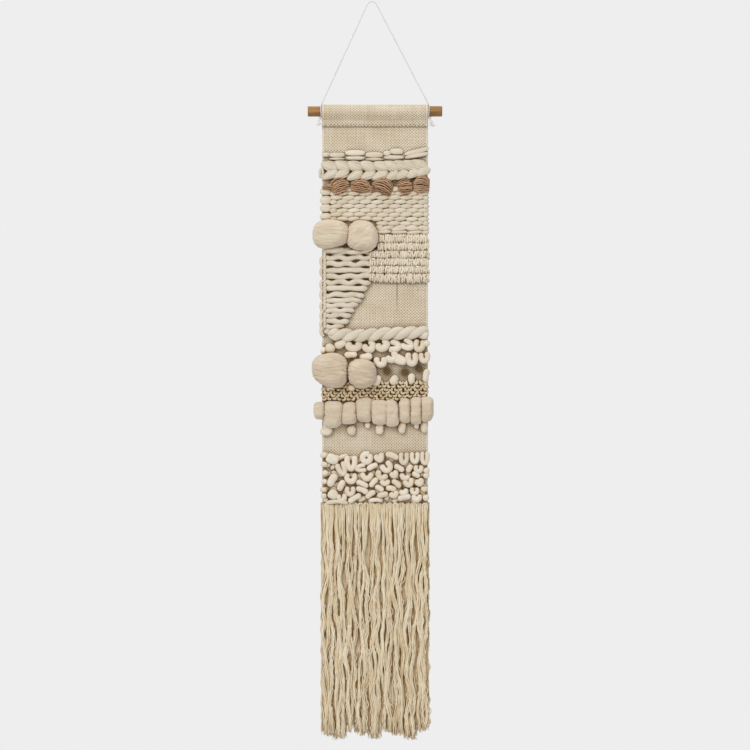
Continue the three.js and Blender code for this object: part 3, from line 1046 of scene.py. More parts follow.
@dataclass
class Dowel:
    """A hand-finished rod with slightly worn edges."""

    flats: float = 0.25 * MM
    rings: int = 150

    def build(self) -> None:
        """Makes the rod on the frame's own line."""
        room = Room.of("dowel")
        middle = (room.top + room.bottom) / 2
        radius = room.height / 2
        t = crowded_ends(self.rings)
        x = room.left + t * room.width
        from_end = np.minimum(x - room.left, room.right - x)
        ease = 1.6 * MM
        eased = radius - ease + np.sqrt(np.maximum(ease**2 - np.maximum(ease - from_end, 0) ** 2, 0)) * 0.98
        rng = chance(Seed.DOWEL)
        wander = sway(rng, x, (0.21, 0.09)) * 0.2 * MM
        line = np.stack([x, wander * 0.5, middle + wander], axis=1)
        rod = Skein("wooden_dowel", Wood(
            "oiled_wood", "wood", shade(188, 142, 84), shade(112, 70, 32),
            room.width / 2, (room.left + room.right) / 2))
        half = eased - self.flats + sway(rng, x, (0.13, 0.05)) * 0.12 * MM
        half = np.minimum(half, radius)
        rod.lay(line, half, sides=40, plies=8, pitch=9.0, groove=0.006)
        ridden(rod.made(), "dowel", "dowel")


# ---- ground cloth


@dataclass
class GroundCloth:
    """The woven strip: over the dowel, down the back of it and on to the fringe."""

    warp: float = CLOTH.warp
    weft: float = CLOTH.weft
    relief: float = 0.48 * MM
    selvedge: float = 6 * MM
    fine: float = 0.95 * MM
    coarse: float = 4.0 * MM
    flat_width: float = 0.2
    dents: Sequence[tuple[float, float]] = ((123, -698), (156.5, -700), (183.5, -693))
    dent_reach: float = 10.5 * MM
    dent_depth: float = 0.8 * MM
    crease_place: float = 140.3  # mm from the cloth's left edge
    crease_rise: float = 0.9 * MM
    crease_shade: float = 600  # how much painted shade lies beside the crease, for each metre it rises
    # painted shade over the band between the rope and the boucle
    band_shade: float = 0.17

    def _shadow(self, x: Points, z: Points) -> Points:
        """How deep each point lies in the soft round hollows, from 0 to 1; the same depth sets the painted
        shadow in them.

        Args:
            x: Places across.
            z: Heights.

        Returns:
            The depths.
        """
        total = np.zeros_like(x)
        for u, height in self.dents:
            far = np.hypot(x - across(u), z - height * MM)
            total += 1.1 * np.exp(-((far / self.dent_reach) ** 2))
        return total

    def _crease(self, x: Points, z: Points) -> Points:
        """The fold that runs down from the last row of knots, in metres.

        Args:
            x: Places across.
            z: Heights.

        Returns:
            How far the fold stands out.
        """
        knots = Room.of("knot_row_6").bottom
        near = np.clip((knots + 4 * MM - z) / (4 * MM), 0, 1)
        far = np.clip((z - knots + 62 * MM) / (40 * MM), 0, 1)
        off = (x - across(self.crease_place)) / (1.5 * MM)
        return self.crease_rise * np.exp(-(off**2)) * near * far

    def _line(self) -> tuple[Points, Points, Points]:
        """The cloth's middle line from the flap's edge to the fringe.

        Returns:
            Distances along it, its points (y, z) and the directions it faces.
        """
        sleeve, wood = Room.of("hem_sleeve"), Room.of("dowel")
        middle = (wood.top + wood.bottom) / 2
        back = (CLOTH_ROOM.front + CLOTH_ROOM.back) / 2
        thick = CLOTH_ROOM.depth
        radius = sleeve.top - middle - thick / 2
        flap = back - thick - 0.3 * MM
        down = Room.of("lower_cloth").bottom
        angle = np.radians(np.linspace(210, -30, 60))
        arc = np.stack([np.cos(angle) * radius, middle + np.sin(angle) * radius], axis=1)
        front = np.array([[flap, sleeve.bottom], [flap, sleeve.bottom + 4 * MM],
                          [flap - 1.2 * MM, sleeve.bottom + 12 * MM]])
        rear = np.array([[back + 1.2 * MM, middle - 17 * MM], [back, middle - 26 * MM],
                         [back, middle - 60 * MM], [back, down]])
        knots = np.vstack([front, arc, rear])
        line = np.column_stack([np.zeros(len(knots)), knots])
        line = even_steps(line, 4000)[:, 1:]
        step = np.linalg.norm(np.diff(line, axis=0), axis=1)
        along = np.concatenate([[0.0], np.cumsum(step)])
        way = unit(np.gradient(line, axis=0))
        outward = np.stack([-way[:, 1], way[:, 0]], axis=1)
        return along, line, outward

    def _rows(self, start: float, end: float, plain: Sequence[tuple[float, float]],
              along: Points, line: Points) -> Points:
        """Where the rows of points go: close in the plain cloth, and wide under the yarn.

        Args:
            start: Distance along the cloth.
            end: Distance along the cloth.
            plain: Heights between which the cloth shows, top first.
            along: Distances of the line's points.
            line: The line's points.

        Returns:
            Distances of the rows.
        """
        rows, at = [start], start
        while at < end - self.fine:
            z = float(np.interp(at, along, line[:, 1]))
            shows = any(low <= z <= high for high, low in plain)
            at = min(at + (self.fine if shows else self.coarse), end)
            rows.append(at)
        rows[-1] = end
        return np.array(rows)

    def _weave(self, across: Points, up: Points) -> Points:
        """How far the yarns stand out, from -1 to 1, with a flat selvedge.

        Args:
            across: Places across.
            up: Distances along.

        Returns:
            The relief.
        """
        edge = np.minimum(across - CLOTH_ROOM.left, CLOTH_ROOM.right - across)
        inner = np.clip((edge - self.selvedge * 0.6) / (self.selvedge * 0.4), 0, 1)
        cross = np.sin(across * math.pi / self.warp) * np.sin(up * math.pi / self.weft)
        ladder = 0.7 * np.sin(up * math.pi / self.weft) * np.abs(
            np.sin(edge * math.pi / (self.selvedge * 0.62)))
        return cross * inner + ladder * (1 - inner)

    def _ripple(self, across: Points, z: Points) -> Points:
        """Slow waves that a hand-woven strip keeps below its sleeve, in metres.

        Args:
            across: Places across.
            z: Heights.

        Returns:
            The waves.
        """
        free = np.clip((Room.of("hem_sleeve").bottom - z) / (25 * MM), 0, 1)
        return 0.5 * MM * free * (
            np.sin(across * 41 + z * 9) * 0.6 + np.sin(z * 31 - across * 17 + 1.3) * 0.5
        )

    def _length(self, name: str, start: float, end: float,
                plain: Sequence[tuple[float, float]]) -> bpy.types.Object:
        """One length of the cloth as a closed mesh.

        Args:
            name: The piece's name.
            start: Distance along the cloth.
            end: Distance along the cloth.
            plain: Heights between which the cloth shows, top first.

        Returns:
            The piece.
        """
        along, line, outward = self._line()
        rows = self._rows(start, end, plain, along, line)
        centre = np.stack([np.interp(rows, along, line[:, k]) for k in (0, 1)], axis=1)
        faces_out = unit(np.stack([np.interp(rows, along, outward[:, k]) for k in (0, 1)], axis=1))
        columns = np.linspace(CLOTH_ROOM.left, CLOTH_ROOM.right, int(CLOTH_ROOM.width / self.fine) + 1)
        x, s = np.meshgrid(columns, rows)
        half = CLOTH_ROOM.depth / 2 - self.relief
        edge = np.minimum(x - CLOTH_ROOM.left, CLOTH_ROOM.right - x)
        thin = np.sqrt(np.clip(edge / (1.6 * MM), 0.06, 1))
        wave = self._ripple(x, centre[:, 1][:, None] + 0 * x)
        scallop = 0.5 * MM * np.sin(s * math.pi / self.weft) * (edge < 0.2 * MM)
        side = np.where(x > (CLOTH_ROOM.left + CLOTH_ROOM.right) / 2, 1, -1)
        nearly = np.gradient(rows)[:, None] < 2.2 * MM
        layers, maps = [], []
        for way in (1, -1):
            relief = self.relief * self._weave(x, s) * np.where(nearly, 1.0, 0.25)
            off = way * (half + relief) * thin + wave
            y = centre[:, 0][:, None] + faces_out[:, 0][:, None] * off
            z = centre[:, 1][:, None] + faces_out[:, 1][:, None] * off
            y = y + self.dent_depth * self._shadow(x, z) - self._crease(x, z)
            layers.append(np.stack([x + side * scallop, y, z], axis=-1))
            maps.append(np.stack([x, s], axis=-1))
        cloth = Skein(name, CLOTH)
        self._close(cloth, layers, maps)
        return cloth.made()

    def _close(self, cloth: Skein, layers: list[Points], maps: list[Points]) -> None:
        """Joins the two faces of the cloth round all four edges.

        Args:
            cloth: The skein to add them to.
            layers: The back's points and the front's.
            maps: Each layer's places on the fibre map.
        """
        m, n = layers[0].shape[:2]
        index = np.arange(m * n).reshape(m, n)
        a, b = index[:-1, :-1], index[:-1, 1:]
        c, d = index[1:, 1:], index[1:, :-1]
        upper = np.stack([a, b, c, d], axis=-1).reshape(-1, 4)
        lower = np.stack([a, d, c, b], axis=-1).reshape(-1, 4) + m * n
        rim = np.concatenate([index[0], index[1:, -1], index[-1, -2::-1], index[-2:0:-1, 0]])
        after = np.roll(rim, -1)
        wall = np.stack([rim, rim + m * n, after + m * n, after], axis=-1)
        points = np.vstack([layer.reshape(-1, 3) for layer in layers])
        spread = np.vstack([flat.reshape(-1, 2) for flat in maps])
        x, z = points[:, 0], points[:, 2]
        rope, boucle = Room.of("rope_row").bottom, Room.of("boucle_band").top
        # painted shade over the band between the rope and the boucle, eased in over 8 mm at each edge
        eased = np.clip((rope - z) / (8 * MM), 0, 1) * np.clip((z - boucle) / (8 * MM), 0, 1)
        # the cloth's tint: painted shadow in the dents, painted shade beside the crease (shifted 1.4 mm to
        # one side) and over that band
        dark = (self._shadow(x, z) + self.crease_shade * self._crease(x - 1.4 * MM, z)
                + self.band_shade * eased)
        dark = np.clip(dark, 0, 1) * np.repeat([0.0, 1.0], m * n)
        cloth.skin(points, np.vstack([upper, lower, wall]), spread, dark)

    def _reach(self, z: float) -> float:
        """How far along the cloth the height z lies, below the sleeve.

        Args:
            z: The height.

        Returns:
            The distance from the flap.
        """
        along, line, _ = self._line()
        below = np.argmax(line[:, 1])
        return float(np.interp(-z, -line[below:, 1], along[below:]))

    def build(self) -> None:
        """Makes the three lengths, which meet under bands of yarn."""
        soumak, boucle, knots, rope, loops, pile, small, thin = map(Room.of, (
            "soumak_row", "boucle_band", "knot_row_6", "rope_row", "loop_row_2", "pile_row_1",
            "small_puff_2", "thin_stitch_row"))
        first = soumak.top - soumak.height * 0.5
        second = boucle.top - boucle.height * 0.5
        along, _, _ = self._line()
        marks = [0.0, self._reach(first), self._reach(second), float(along[-1])]
        top = self._length("cloth_top", marks[0], marks[1], [(1.0, thin.bottom)])
        middle = self._length("cloth_middle", marks[1], marks[2], [
            (knots.bottom + 2 * MM, rope.top - 4 * MM),
            (loops.bottom + 16 * MM, boucle.top - 2 * MM)])
        foot = self._length("cloth_foot", marks[2], marks[3], [(small.bottom + 2 * MM, pile.top - 3 * MM)])
        fold, hem = Room.of("middle_cloth").top, Room.of("middle_cloth").bottom
        x, y = (CLOTH_ROOM.left + CLOTH_ROOM.right) / 2, (CLOTH_FRONT + CLOTH_ROOM.back) / 2
        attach(top, "upper_panel")
        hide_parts("hem_sleeve")
        fold + 14 * MM
        fold - 12 * MM
        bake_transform(middle)
        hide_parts("upper_cloth", "middle_cloth")
        hem + 15 * MM
        hem - 15 * MM
        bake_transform(foot)
        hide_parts("lower_cloth")
        for piece, start, stop in zip((top, middle, foot), marks[:-1], marks[1:]):
            report(piece)


@dataclass
class HemStitching:
    """Running stitches that hold the turned-over flap."""

    length: float = 5 * MM
    pitch: float = 8 * MM
    thickness: float = 0.9 * MM

    def build(self) -> None:
        """Sews the flap down just above its edge."""
        room = Room.of("hem_stitching")
        rng = chance(Seed.HEM)
        thread = Skein("flap_stitches", THREAD)
        z = (room.top + room.bottom) / 2
        for x in np.arange(room.left, room.right - self.length, self.pitch):
            t = np.linspace(0, 1, 9)
            lift = np.sin(t * math.pi)
            line = np.stack([x + t * self.length,
                             room.back + 0.2 * MM - lift * 0.7 * MM,
                             z + rng.uniform(-0.3, 0.3) * MM + 0 * t], axis=1)
            thread.lay(line, self.thickness / 2, sides=6)
        ridden(thread.made(), "upper_panel", "hem_stitching")


# ---- stitches and bands


def turned(line: Points, degrees: float) -> Points:
    """A flat line (x, z) turned anticlockwise as the viewer sees it.

    Args:
        line: The line.
        degrees: How far it turns.

    Returns:
        The turned line.
    """
    angle = math.radians(degrees)
    c, s = math.cos(angle), math.sin(angle)
    return np.stack([line[:, 0] * c - line[:, 1] * s, line[:, 0] * s + line[:, 1] * c], axis=1)


def float_line(x: float, z: float, length: float, lean: float, front: float,
               deep: float, count: int = 22, sag: float = 0.0) -> Points:
    """A yarn float that comes out of the cloth, lies over it and goes back in.

    Args:
        x: Its middle across.
        z: Its middle up.
        length: From end to end.
        lean: Degrees anticlockwise from level.
        front: The furthest it stands out.
        deep: The yarn's half depth.
        count: How many points it has.
        sag: How far its middle hangs below its ends.

    Returns:
        The float's middle line.
    """
    t = crowded_ends(count)
    hump = np.sin(t * math.pi)
    flat = turned(np.stack([(t - 0.5) * length, -sag * hump], axis=1), lean)
    root = CLOTH_FRONT - 0.2 * MM
    y = root + (front + deep - root) * hump**0.5
    return np.stack([x + flat[:, 0], y, z + flat[:, 1]], axis=1)


@dataclass
class ThinStitches:
    """A line of thin roving stitches, two deep in places."""

    stitches: Sequence[tuple[float, float, float, float, float]] = (
        (7, 11, 15, 9, 0), (28, 11.8, 31, 10, 0), (62.5, 7.8, 39, 11.5, 0),
        (98.8, 11.8, 35, 11.5, 0), (123, 8, 15, 10, 0), (140.5, 5.5, 26, 12, 0),
        (178.5, 5, 48, 10, 14), (62.5, 17.8, 37, 8.6, 0), (98.8, 20.6, 34, 7, 0),
        (135.5, 16.4, 39, 10, 0), (178.5, 13.2, 46, 9, 12), (28, 19.5, 30, 6, 0),
    )  # across, drop, length, thickness in mm and lean in degrees

    def build(self) -> None:
        """Lays the stitches."""
        room = Room.of("thin_stitch_row")
        rng = chance(Seed.THIN)
        yarn = Skein("thin_roving_stitches", ROVING)
        for u, drop, length, thick, lean in self.stitches:
            deep = 2.0 * MM
            line = float_line(across(u), room.top - drop * MM, length * MM, lean,
                              room.front, deep, 26, rng.uniform(-0.4, 0.8) * MM)
            yarn.lay(line, lens(26, thick * MM / 2, 0.45), lens(26, deep, 0.5),
                     rng.uniform(-0.6, 1), sides=14)
        ridden(yarn.made(), "upper_panel", "thin_stitch_row")


@dataclass
class BraidHalf:
    """Leaves of roving that lean one way: two of these make the braid."""

    name: str
    node: str
    leaves: Sequence[tuple[float, float]]  # across and drop, in mm
    length: float
    thick: float
    lean: float
    point: float
    sag: float
    seed: int
    looped: bool = False

    def build(self) -> None:
        """Lays the leaves so that each covers the start of the next."""
        room = Room.of(self.node)
        rng = chance(self.seed)
        yarn = Skein(self.name, SOFT_ROVING)
        deep = 4.2 * MM
        for u, drop in self.leaves:
            lean = self.lean + rng.uniform(-4, 4)
            length = self.length * rng.uniform(0.93, 1.07)
            x, z = across(u), room.top - drop * MM
            front = room.front + rng.uniform(0, 1.2) * MM
            line = float_line(x, z, length, lean, front, deep, 30, self.sag)
            t = np.linspace(0, math.pi, 30)
            full = self.thick / 2 * np.sin(t) ** 0.6 * (1 + self.point * np.cos(t))
            full = np.maximum(full, 0.6 * MM)
            yarn.lay(line, full, np.minimum(full, deep), rng.uniform(-0.5, 0.9), sides=18)
            self._strands(yarn, rng, line, full, deep)
        if self.looped:
            self._edge_loop(yarn, room)
        ridden(yarn.made(), "upper_panel", self.node)

    def _edge_loop(self, yarn: Skein, room: Room) -> None:
        """Lays the turn of roving that comes round the cloth's left edge.

        Args:
            yarn: The skein to lay it in.
            room: The band's room.
        """
        t = np.linspace(0.06, 0.94, 30) * math.tau
        line = np.stack([across(0.4) - np.sin(t) * 2.8 * MM - 1.6 * MM,
                         room.front * 0.45 + np.cos(t) * 1.4 * MM,
                         room.top - 5.5 * MM - np.cos(t) * 9.5 * MM], axis=1)
        yarn.lay(line, rounded(line, 2.9 * MM, 1.2), tints=0.5, sides=12)

    def _strands(self, yarn: Skein, rng: Chance, line: Points, full: Points, deep: float) -> None:
        """Lays loose locks of the same wool over a leaf, which give it its grain.

        Args:
            yarn: The skein to lay them in.
            rng: The band's own chance.
            line: The leaf's middle line.
            full: The leaf's half widths.
            deep: The leaf's half depth.
        """
        way = unit(np.gradient(line, axis=0))
        side = unit(np.cross(way, VIEWER))
        for part in np.linspace(-0.78, 0.78, 6):
            place = part + rng.uniform(-0.08, 0.08)
            lift = math.sqrt(max(1 - place**2, 0)) * np.minimum(full, deep)
            lock = line + side * (full * place)[:, None]
            lock[:, 1] -= lift * 0.86
            yarn.lay(lock, np.maximum(full * 0.17, 0.4 * MM), np.maximum(lift * 0.2, 0.3 * MM),
                     rng.uniform(-0.8, 1), sides=8)


@dataclass
class Lobe:
    """One swell of a tuft: a hank of yarns side by side."""

    u: float
    z: float
    width: float
    height: float
    lean: float
    bow: float
    tie: int  # 1 where its yarns are drawn together at the right, -1 at the left


@dataclass
class RoseTufts:
    """Five tufts of rose-brown yarn."""

    thickness: float = 2.9 * MM
    lobes: Sequence[Sequence[Lobe]] = (
        (Lobe(34.5, -348, 37, 35, 20, 0.1, 1), Lobe(13, -350, 24, 9, 6, 0.05, 1)),
        (Lobe(74, -348.5, 42, 31, -10, 0.08, 1), Lobe(92, -353, 14, 9, -30, 0.1, 1)),
        (Lobe(114.5, -349, 42, 34, -24, 0.12, -1),),
        (Lobe(157.5, -349, 28, 36, 6, 0.06, 1),),
        (Lobe(186.5, -345.5, 31, 41, -4, 0.1, -1),),
    )

    def build(self) -> None:
        """Makes the five tufts."""
        for k, lobes in enumerate(self.lobes, 1):
            room = Room.of(f"rose_tuft_{k}")
            rng = chance(Seed.ROSE + k)
            yarn = Skein(f"rose_yarn_tuft_{k}", ROSE_WOOL)
            for lobe in lobes:
                self._hank(yarn, rng, lobe, room)
            ridden(yarn.made(), "upper_panel", f"rose_tuft_{k}")

    def _hank(self, yarn: Skein, rng: Chance, lobe: Lobe, room: Room) -> None:
        """Lays one lobe's yarns in three layers, from the cloth outwards.

        Args:
            yarn: The skein to lay them in.
            rng: The tuft's own chance.
            lobe: Where the lobe lies, in mm.
            room: The tuft's room.
        """
        depth = CLOTH_FRONT - room.front
        for layer, share in enumerate((0.35, 0.68, 1.0)):
            rows = max(int(lobe.height * MM / self.thickness * (1.08 - layer * 0.2)), 3)
            for row in range(rows):
                part = (row + 0.5) / rows * 2 - 1 + rng.uniform(-0.05, 0.05)
                t = crowded_ends(26)
                length = lobe.width * MM * (1 - 0.16 * part**2)
                arch = lobe.bow * lobe.width * MM * np.sin(t * math.pi)
                off = part * (1.0 - layer * 0.08) * lobe.height * MM / 2
                fan = np.sin(math.pi * (t * 0.84) ** 0.72) ** 0.6
                flat = np.stack([-lobe.tie * ((t - 0.5) * length + 0.08 * length * part**2),
                                 off * (0.1 + 0.9 * fan) + arch - arch.max() / 2], axis=1)
                flat = turned(flat, lobe.lean)
                flat += np.stack([sway(rng, t, (0.5, 0.23)) * 0.35 * MM,
                                  sway(rng, t, (0.45, 0.21)) * 0.45 * MM], axis=1)
                dome = math.sqrt(max(1 - (part * 0.8) ** 2, 0.1))
                lift = (depth - self.thickness) * share * dome * rng.uniform(0.9, 1.0)
                y = CLOTH_FRONT - self.thickness * 0.4 - lift * np.sin(t * math.pi) ** 0.42
                line = np.stack([across(lobe.u) + flat[:, 0], y, lobe.z * MM + flat[:, 1]], axis=1)
                yarn.lay(even_steps(line, 26), self.thickness / 2 * rng.uniform(0.88, 1.1),
                         tints=rng.uniform(-1, 1), sides=7)


@dataclass
class BrickWeave:
    """Rows of plump stitches set like bricks."""

    row: float = 8.0 * MM
    stitch: float = 22 * MM
    thick: float = 8.5 * MM
    lean: float = 5.0

    def build(self) -> None:
        """Lays the rows from under the tufts down to the puffs and knots."""
        room = Room.of("brick_weave")
        puff = Room.of("upper_puff_left")
        rng = chance(Seed.BRICK)
        yarn = Skein("brick_stitches", SOFT_ROVING)
        z, odd = room.top + 8 * MM, 0
        while z > room.bottom + 11 * MM:
            full = z > puff.top - 3 * MM
            start = CLOTH_ROOM.left + 16 * MM if full else room.right - 97 * MM
            x = start - odd * self.stitch / 2
            while x < room.right - 6 * MM:
                left, right = max(x, start), min(x + self.stitch, room.right)
                if right - left > 5 * MM:
                    self._stitch(yarn, rng, left, right, z, room)
                x += self.stitch
            if full and odd == 0:
                self._wrap(yarn, rng, room.left - 2 * MM, CLOTH_ROOM.left + 16 * MM, z, room)
            z -= self.row
            odd = 1 - odd
        for left, right in ((100, 130.5), (131, 160.5), (160, 190), (189, 201)):
            for step in (0, 6.5):
                self._stitch(yarn, rng, across(left), across(right),
                             room.bottom + (12 - step) * MM, room, 7 * MM)
        ridden(yarn.made(), "upper_panel", "brick_weave")

    def _stitch(self, yarn: Skein, rng: Chance, left: float, right: float,
                z: float, room: Room, thick: float | None = None) -> None:
        """Lays one plump stitch.

        Args:
            yarn: The skein to lay it in.
            rng: The band's own chance.
            left: Where it comes out.
            right: Where it goes in.
            z: Its height.
            room: The band's room.
            thick: Its thickness, or None for the band's own.
        """
        half = (thick or self.thick) / 2 * rng.uniform(0.94, 1.08)
        deep = 2.9 * MM
        line = float_line((left + right) / 2, z + rng.uniform(-0.5, 0.5) * MM,
                          right - left, self.lean + rng.uniform(-3, 3),
                          room.front + rng.uniform(0, 0.8) * MM, deep, 24,
                          rng.uniform(-0.3, 0.6) * MM)
        shape = lens(24, half * 1.12, 0.28)
        yarn.lay(line, shape, np.minimum(shape, deep), rng.uniform(-0.7, 0.9), sides=14)

    def _wrap(self, yarn: Skein, rng: Chance, left: float, right: float, z: float, room: Room) -> None:
        """Lays a stitch that goes round the cloth's left edge."""
        self._stitch(yarn, rng, left, right, z - self.row / 2, room, self.row * 1.75)


@dataclass
class RovingWeave:
    """Thick roving woven in waves, in two parts that meet where the frame folds."""

    rows: Sequence[tuple[float, float]] = (
        (6.3, 96.8), (17.4, 96.8), (29.2, 96.8), (41, 96.8), (52.8, 96.8), (63.8, 92.1),
        (74.9, 85.8), (87.5, 80.3), (97.7, 74.8), (107.1, 68.5), (117.4, 61.4),
        (125.3, 55.9), (137.9, 51.2), (147.3, 41.7), (156.5, 33.8),
    )  # each row's drop and where it ends on the right, in mm
    thick: float = 12.4 * MM
    wave: float = 34.5 * MM
    swing: float = 1.0 * MM
    flats: Sequence[tuple[float, float, float, float, float]] = (
        (24, 2.5, 44, 11, 2), (60, 6, 32, 9, 4), (84, 2.5, 30, 9, 16),
    )  # across, drop, length, thickness and lean
    bumps: Sequence[float] = (24.5, 44.1, 68.6, 87.5, 109.5)
    low_bumps: Sequence[float] = (126.8, 144, 156)

    def build(self) -> None:
        """Lays both parts of the weave and the twisted yarn at its edge."""
        upper, lower = Room.of("roving_weave_upper"), Room.of("roving_weave_lower")
        fold = (upper.bottom + lower.top) / 2
        for name, node, bumps, part in (
            ("wavy_weave_upper", "roving_weave_upper", self.bumps,
             [k for k, row in enumerate(self.rows) if upper.top - row[0] * MM > fold]),
            ("wavy_weave_lower", "roving_weave_lower", self.low_bumps,
             [k for k, row in enumerate(self.rows) if upper.top - row[0] * MM < fold]),
        ):
            rng = chance(Seed.ROVING + len(part))
            yarn = Skein(name, SOFT_ROVING)
            for k in part:
                self._row(yarn, rng, k, upper.top, upper.front)
            for drop in bumps:
                self._bump(yarn, rng, upper.top - drop * MM, upper.front)
            if node == "roving_weave_upper":
                for u, fall, length, thick, lean in self.flats:
                    self._flat(yarn, rng, u, upper.top - fall * MM, length, thick, lean)
            room = Room.of(node)
            self._edge(yarn, room.top, room.bottom, room.front)
            piece = yarn.made()
            across(50)
            fold + 14 * MM
            across(50)
            fold - 12 * MM
            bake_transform(piece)
            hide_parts(node)
            report(piece)

    def _row(self, yarn: Skein, rng: Chance, k: int, top: float, front: float) -> None:
        """Lays one wavy row that goes in front of every other warp.

        Args:
            yarn: The skein to lay it in.
            rng: The part's own chance.
            k: Which row it is.
            top: The weave's top.
            front: The furthest it stands out.
        """
        drop, end = self.rows[k]
        count = int(end) + 14
        x = np.linspace(across(2.5), across(end), count)
        phase = (x - across(15)) / self.wave * math.tau + (math.pi if k % 2 else 0)
        phase = phase + rng.uniform(-0.5, 0.5)
        swing = self.swing * rng.uniform(0.6, 1.5)
        z = top - drop * MM + np.cos(phase) * swing + sway(rng, x, (0.07, 0.031)) * 0.9 * MM
        reach = np.minimum(x - x[0], x[-1] - x) / (9 * MM)
        deep = 3.5 * MM
        over = front + deep + 1.6 * MM * (0.5 + 0.5 * np.cos(phase))
        y = over + (CLOTH_FRONT - over) * np.clip(1 - reach, 0, 1) ** 1.5
        half = self.thick / 2 * (0.86 + 0.1 * np.cos(phase) + 0.06 * sway(rng, x, (0.05, 0.023)))
        half = half * np.sqrt(np.clip(reach * 1.6, 0.05, 1))
        line = np.stack([x, y, z], axis=1)
        yarn.lay(line, half, np.minimum(half, deep), rng.uniform(-0.6, 0.9), sides=16)

    def _flat(self, yarn: Skein, rng: Chance, u: float, z: float,
              length: float, thick: float, lean: float) -> None:
        """Lays one flat stitch along the weave's top, just under the cushions.

        Args:
            yarn: The skein to lay it in.
            rng: The part's own chance.
            u: Its middle, in mm from the cloth's left edge.
            z: Its height.
            length: From end to end, in mm.
            thick: In mm.
            lean: Degrees anticlockwise from level.
        """
        deep = 3 * MM
        line = float_line(across(u), z, length * MM, lean, -13 * MM, deep, 26, 1 * MM)
        yarn.lay(line, lens(26, thick * MM / 2, 0.5), lens(26, deep, 0.5), rng.uniform(0, 1), sides=14)

    def _bump(self, yarn: Skein, rng: Chance, z: float, front: float) -> None:
        """Lays one turn of roving round the cloth's left edge.

        Args:
            yarn: The skein to lay it in.
            rng: The part's own chance.
            z: The turn's height.
            front: The furthest the weave stands out.
        """
        t = np.linspace(-0.62, 0.62, 18) * math.pi
        line = np.stack([across(3.3) - np.cos(t) * 5.0 * MM,
                         front / 2 + 1.5 * MM + np.abs(np.sin(t)) * 1.2 * MM,
                         z + np.sin(t) * 7.6 * MM], axis=1)
        yarn.lay(line, rounded(line, 3.9 * MM, 1.6), 3.2 * MM, rng.uniform(0, 1), sides=12)

    def _edge(self, yarn: Skein, top: float, bottom: float, front: float) -> None:
        """Lays the twisted pale yarn that runs down beside the rows.

        Args:
            yarn: The skein to lay it in.
            top: Where it starts.
            bottom: Where it ends.
            front: The furthest the weave stands out.
        """
        z = np.linspace(top + 3 * MM, bottom - 3 * MM, int((top - bottom) / MM))
        for half in (0, math.pi):
            turn = z / (12 * MM) * math.tau + half
            line = np.stack([across(5.2) + np.cos(turn) * 1.3 * MM,
                             front + 3.0 * MM + np.sin(turn) * 1.0 * MM, z], axis=1)
            yarn.lay(line, 2.2 * MM, tints=0.6, sides=9)


@dataclass
class KnotRows:
    """Rows of tied knots whose ends fan out below."""

    pitch: float = 13.8 * MM
    strands: int = 4
    thick: float = 4.4 * MM

    def build(self) -> None:
        """Ties six rows."""
        for k in range(1, 7):
            room = Room.of(f"knot_row_{k}")
            rng = chance(Seed.KNOTS + k)
            yarn = Skein(f"knotted_row_{k}", KNOT_WOOL)
            number = round(room.width / self.pitch)
            for column in range(number):
                x = room.right + 1 * MM - (column + 0.5) * self.pitch
                self._knot(yarn, rng, x, room)
            ridden(yarn.made(), "upper_panel", f"knot_row_{k}")

    def _knot(self, yarn: Skein, rng: Chance, x: float, room: Room) -> None:
        """Ties one knot.

        Args:
            yarn: The skein to lay it in.
            rng: The row's own chance.
            x: The knot's middle.
            room: The row's room.
        """
        x = x + rng.uniform(-1.1, 1.1) * MM
        tilt = rng.uniform(-3.2, 3.2) * MM
        low = room.bottom - rng.uniform(0.2, 2.2) * MM
        wide = rng.uniform(0.95, 1.12)
        for strand in range(self.strands):
            part = (strand - (self.strands - 1) / 2) / self.strands * 2
            t = crowded_ends(20)
            spread = self.pitch / 2 * part * (0.9 + 0.22 * t) * wide + tilt * (t - 0.5)
            top = room.top + rng.uniform(1.0, 2.6) * MM
            end = low + rng.uniform(-1.2, 2.2) * MM + part**2 * 1.2 * MM
            hump = np.sin(np.clip(t * 1.02, 0, 1) * math.pi) ** 0.34
            deep = (CLOTH_FRONT - room.front - self.thick / 2) * rng.uniform(0.72, 1.0)
            y = CLOTH_FRONT - deep * hump - 0.5 * MM
            line = np.stack([x + spread + sway(rng, t, (0.9, 0.5)) * 0.6 * MM, y,
                             top + (end - top) * t], axis=1)
            swell = self.thick / 2 * (0.72 + 0.2 * t + 0.34 * np.sin(t * math.pi) ** 0.5)
            yarn.lay(line, swell, tints=rng.uniform(-0.9, 1), sides=9)
        reach = self.pitch * rng.uniform(0.3, 0.42)
        band = float_line(x, room.top - rng.uniform(1, 3.5) * MM, reach * 2,
                          rng.uniform(-32, 32), room.front - 0.4 * MM, 1.6 * MM, 14)
        yarn.lay(band, lens(14, self.thick * 0.5, 0.4), lens(14, 1.6 * MM, 0.4), rng.uniform(0, 1), sides=9)


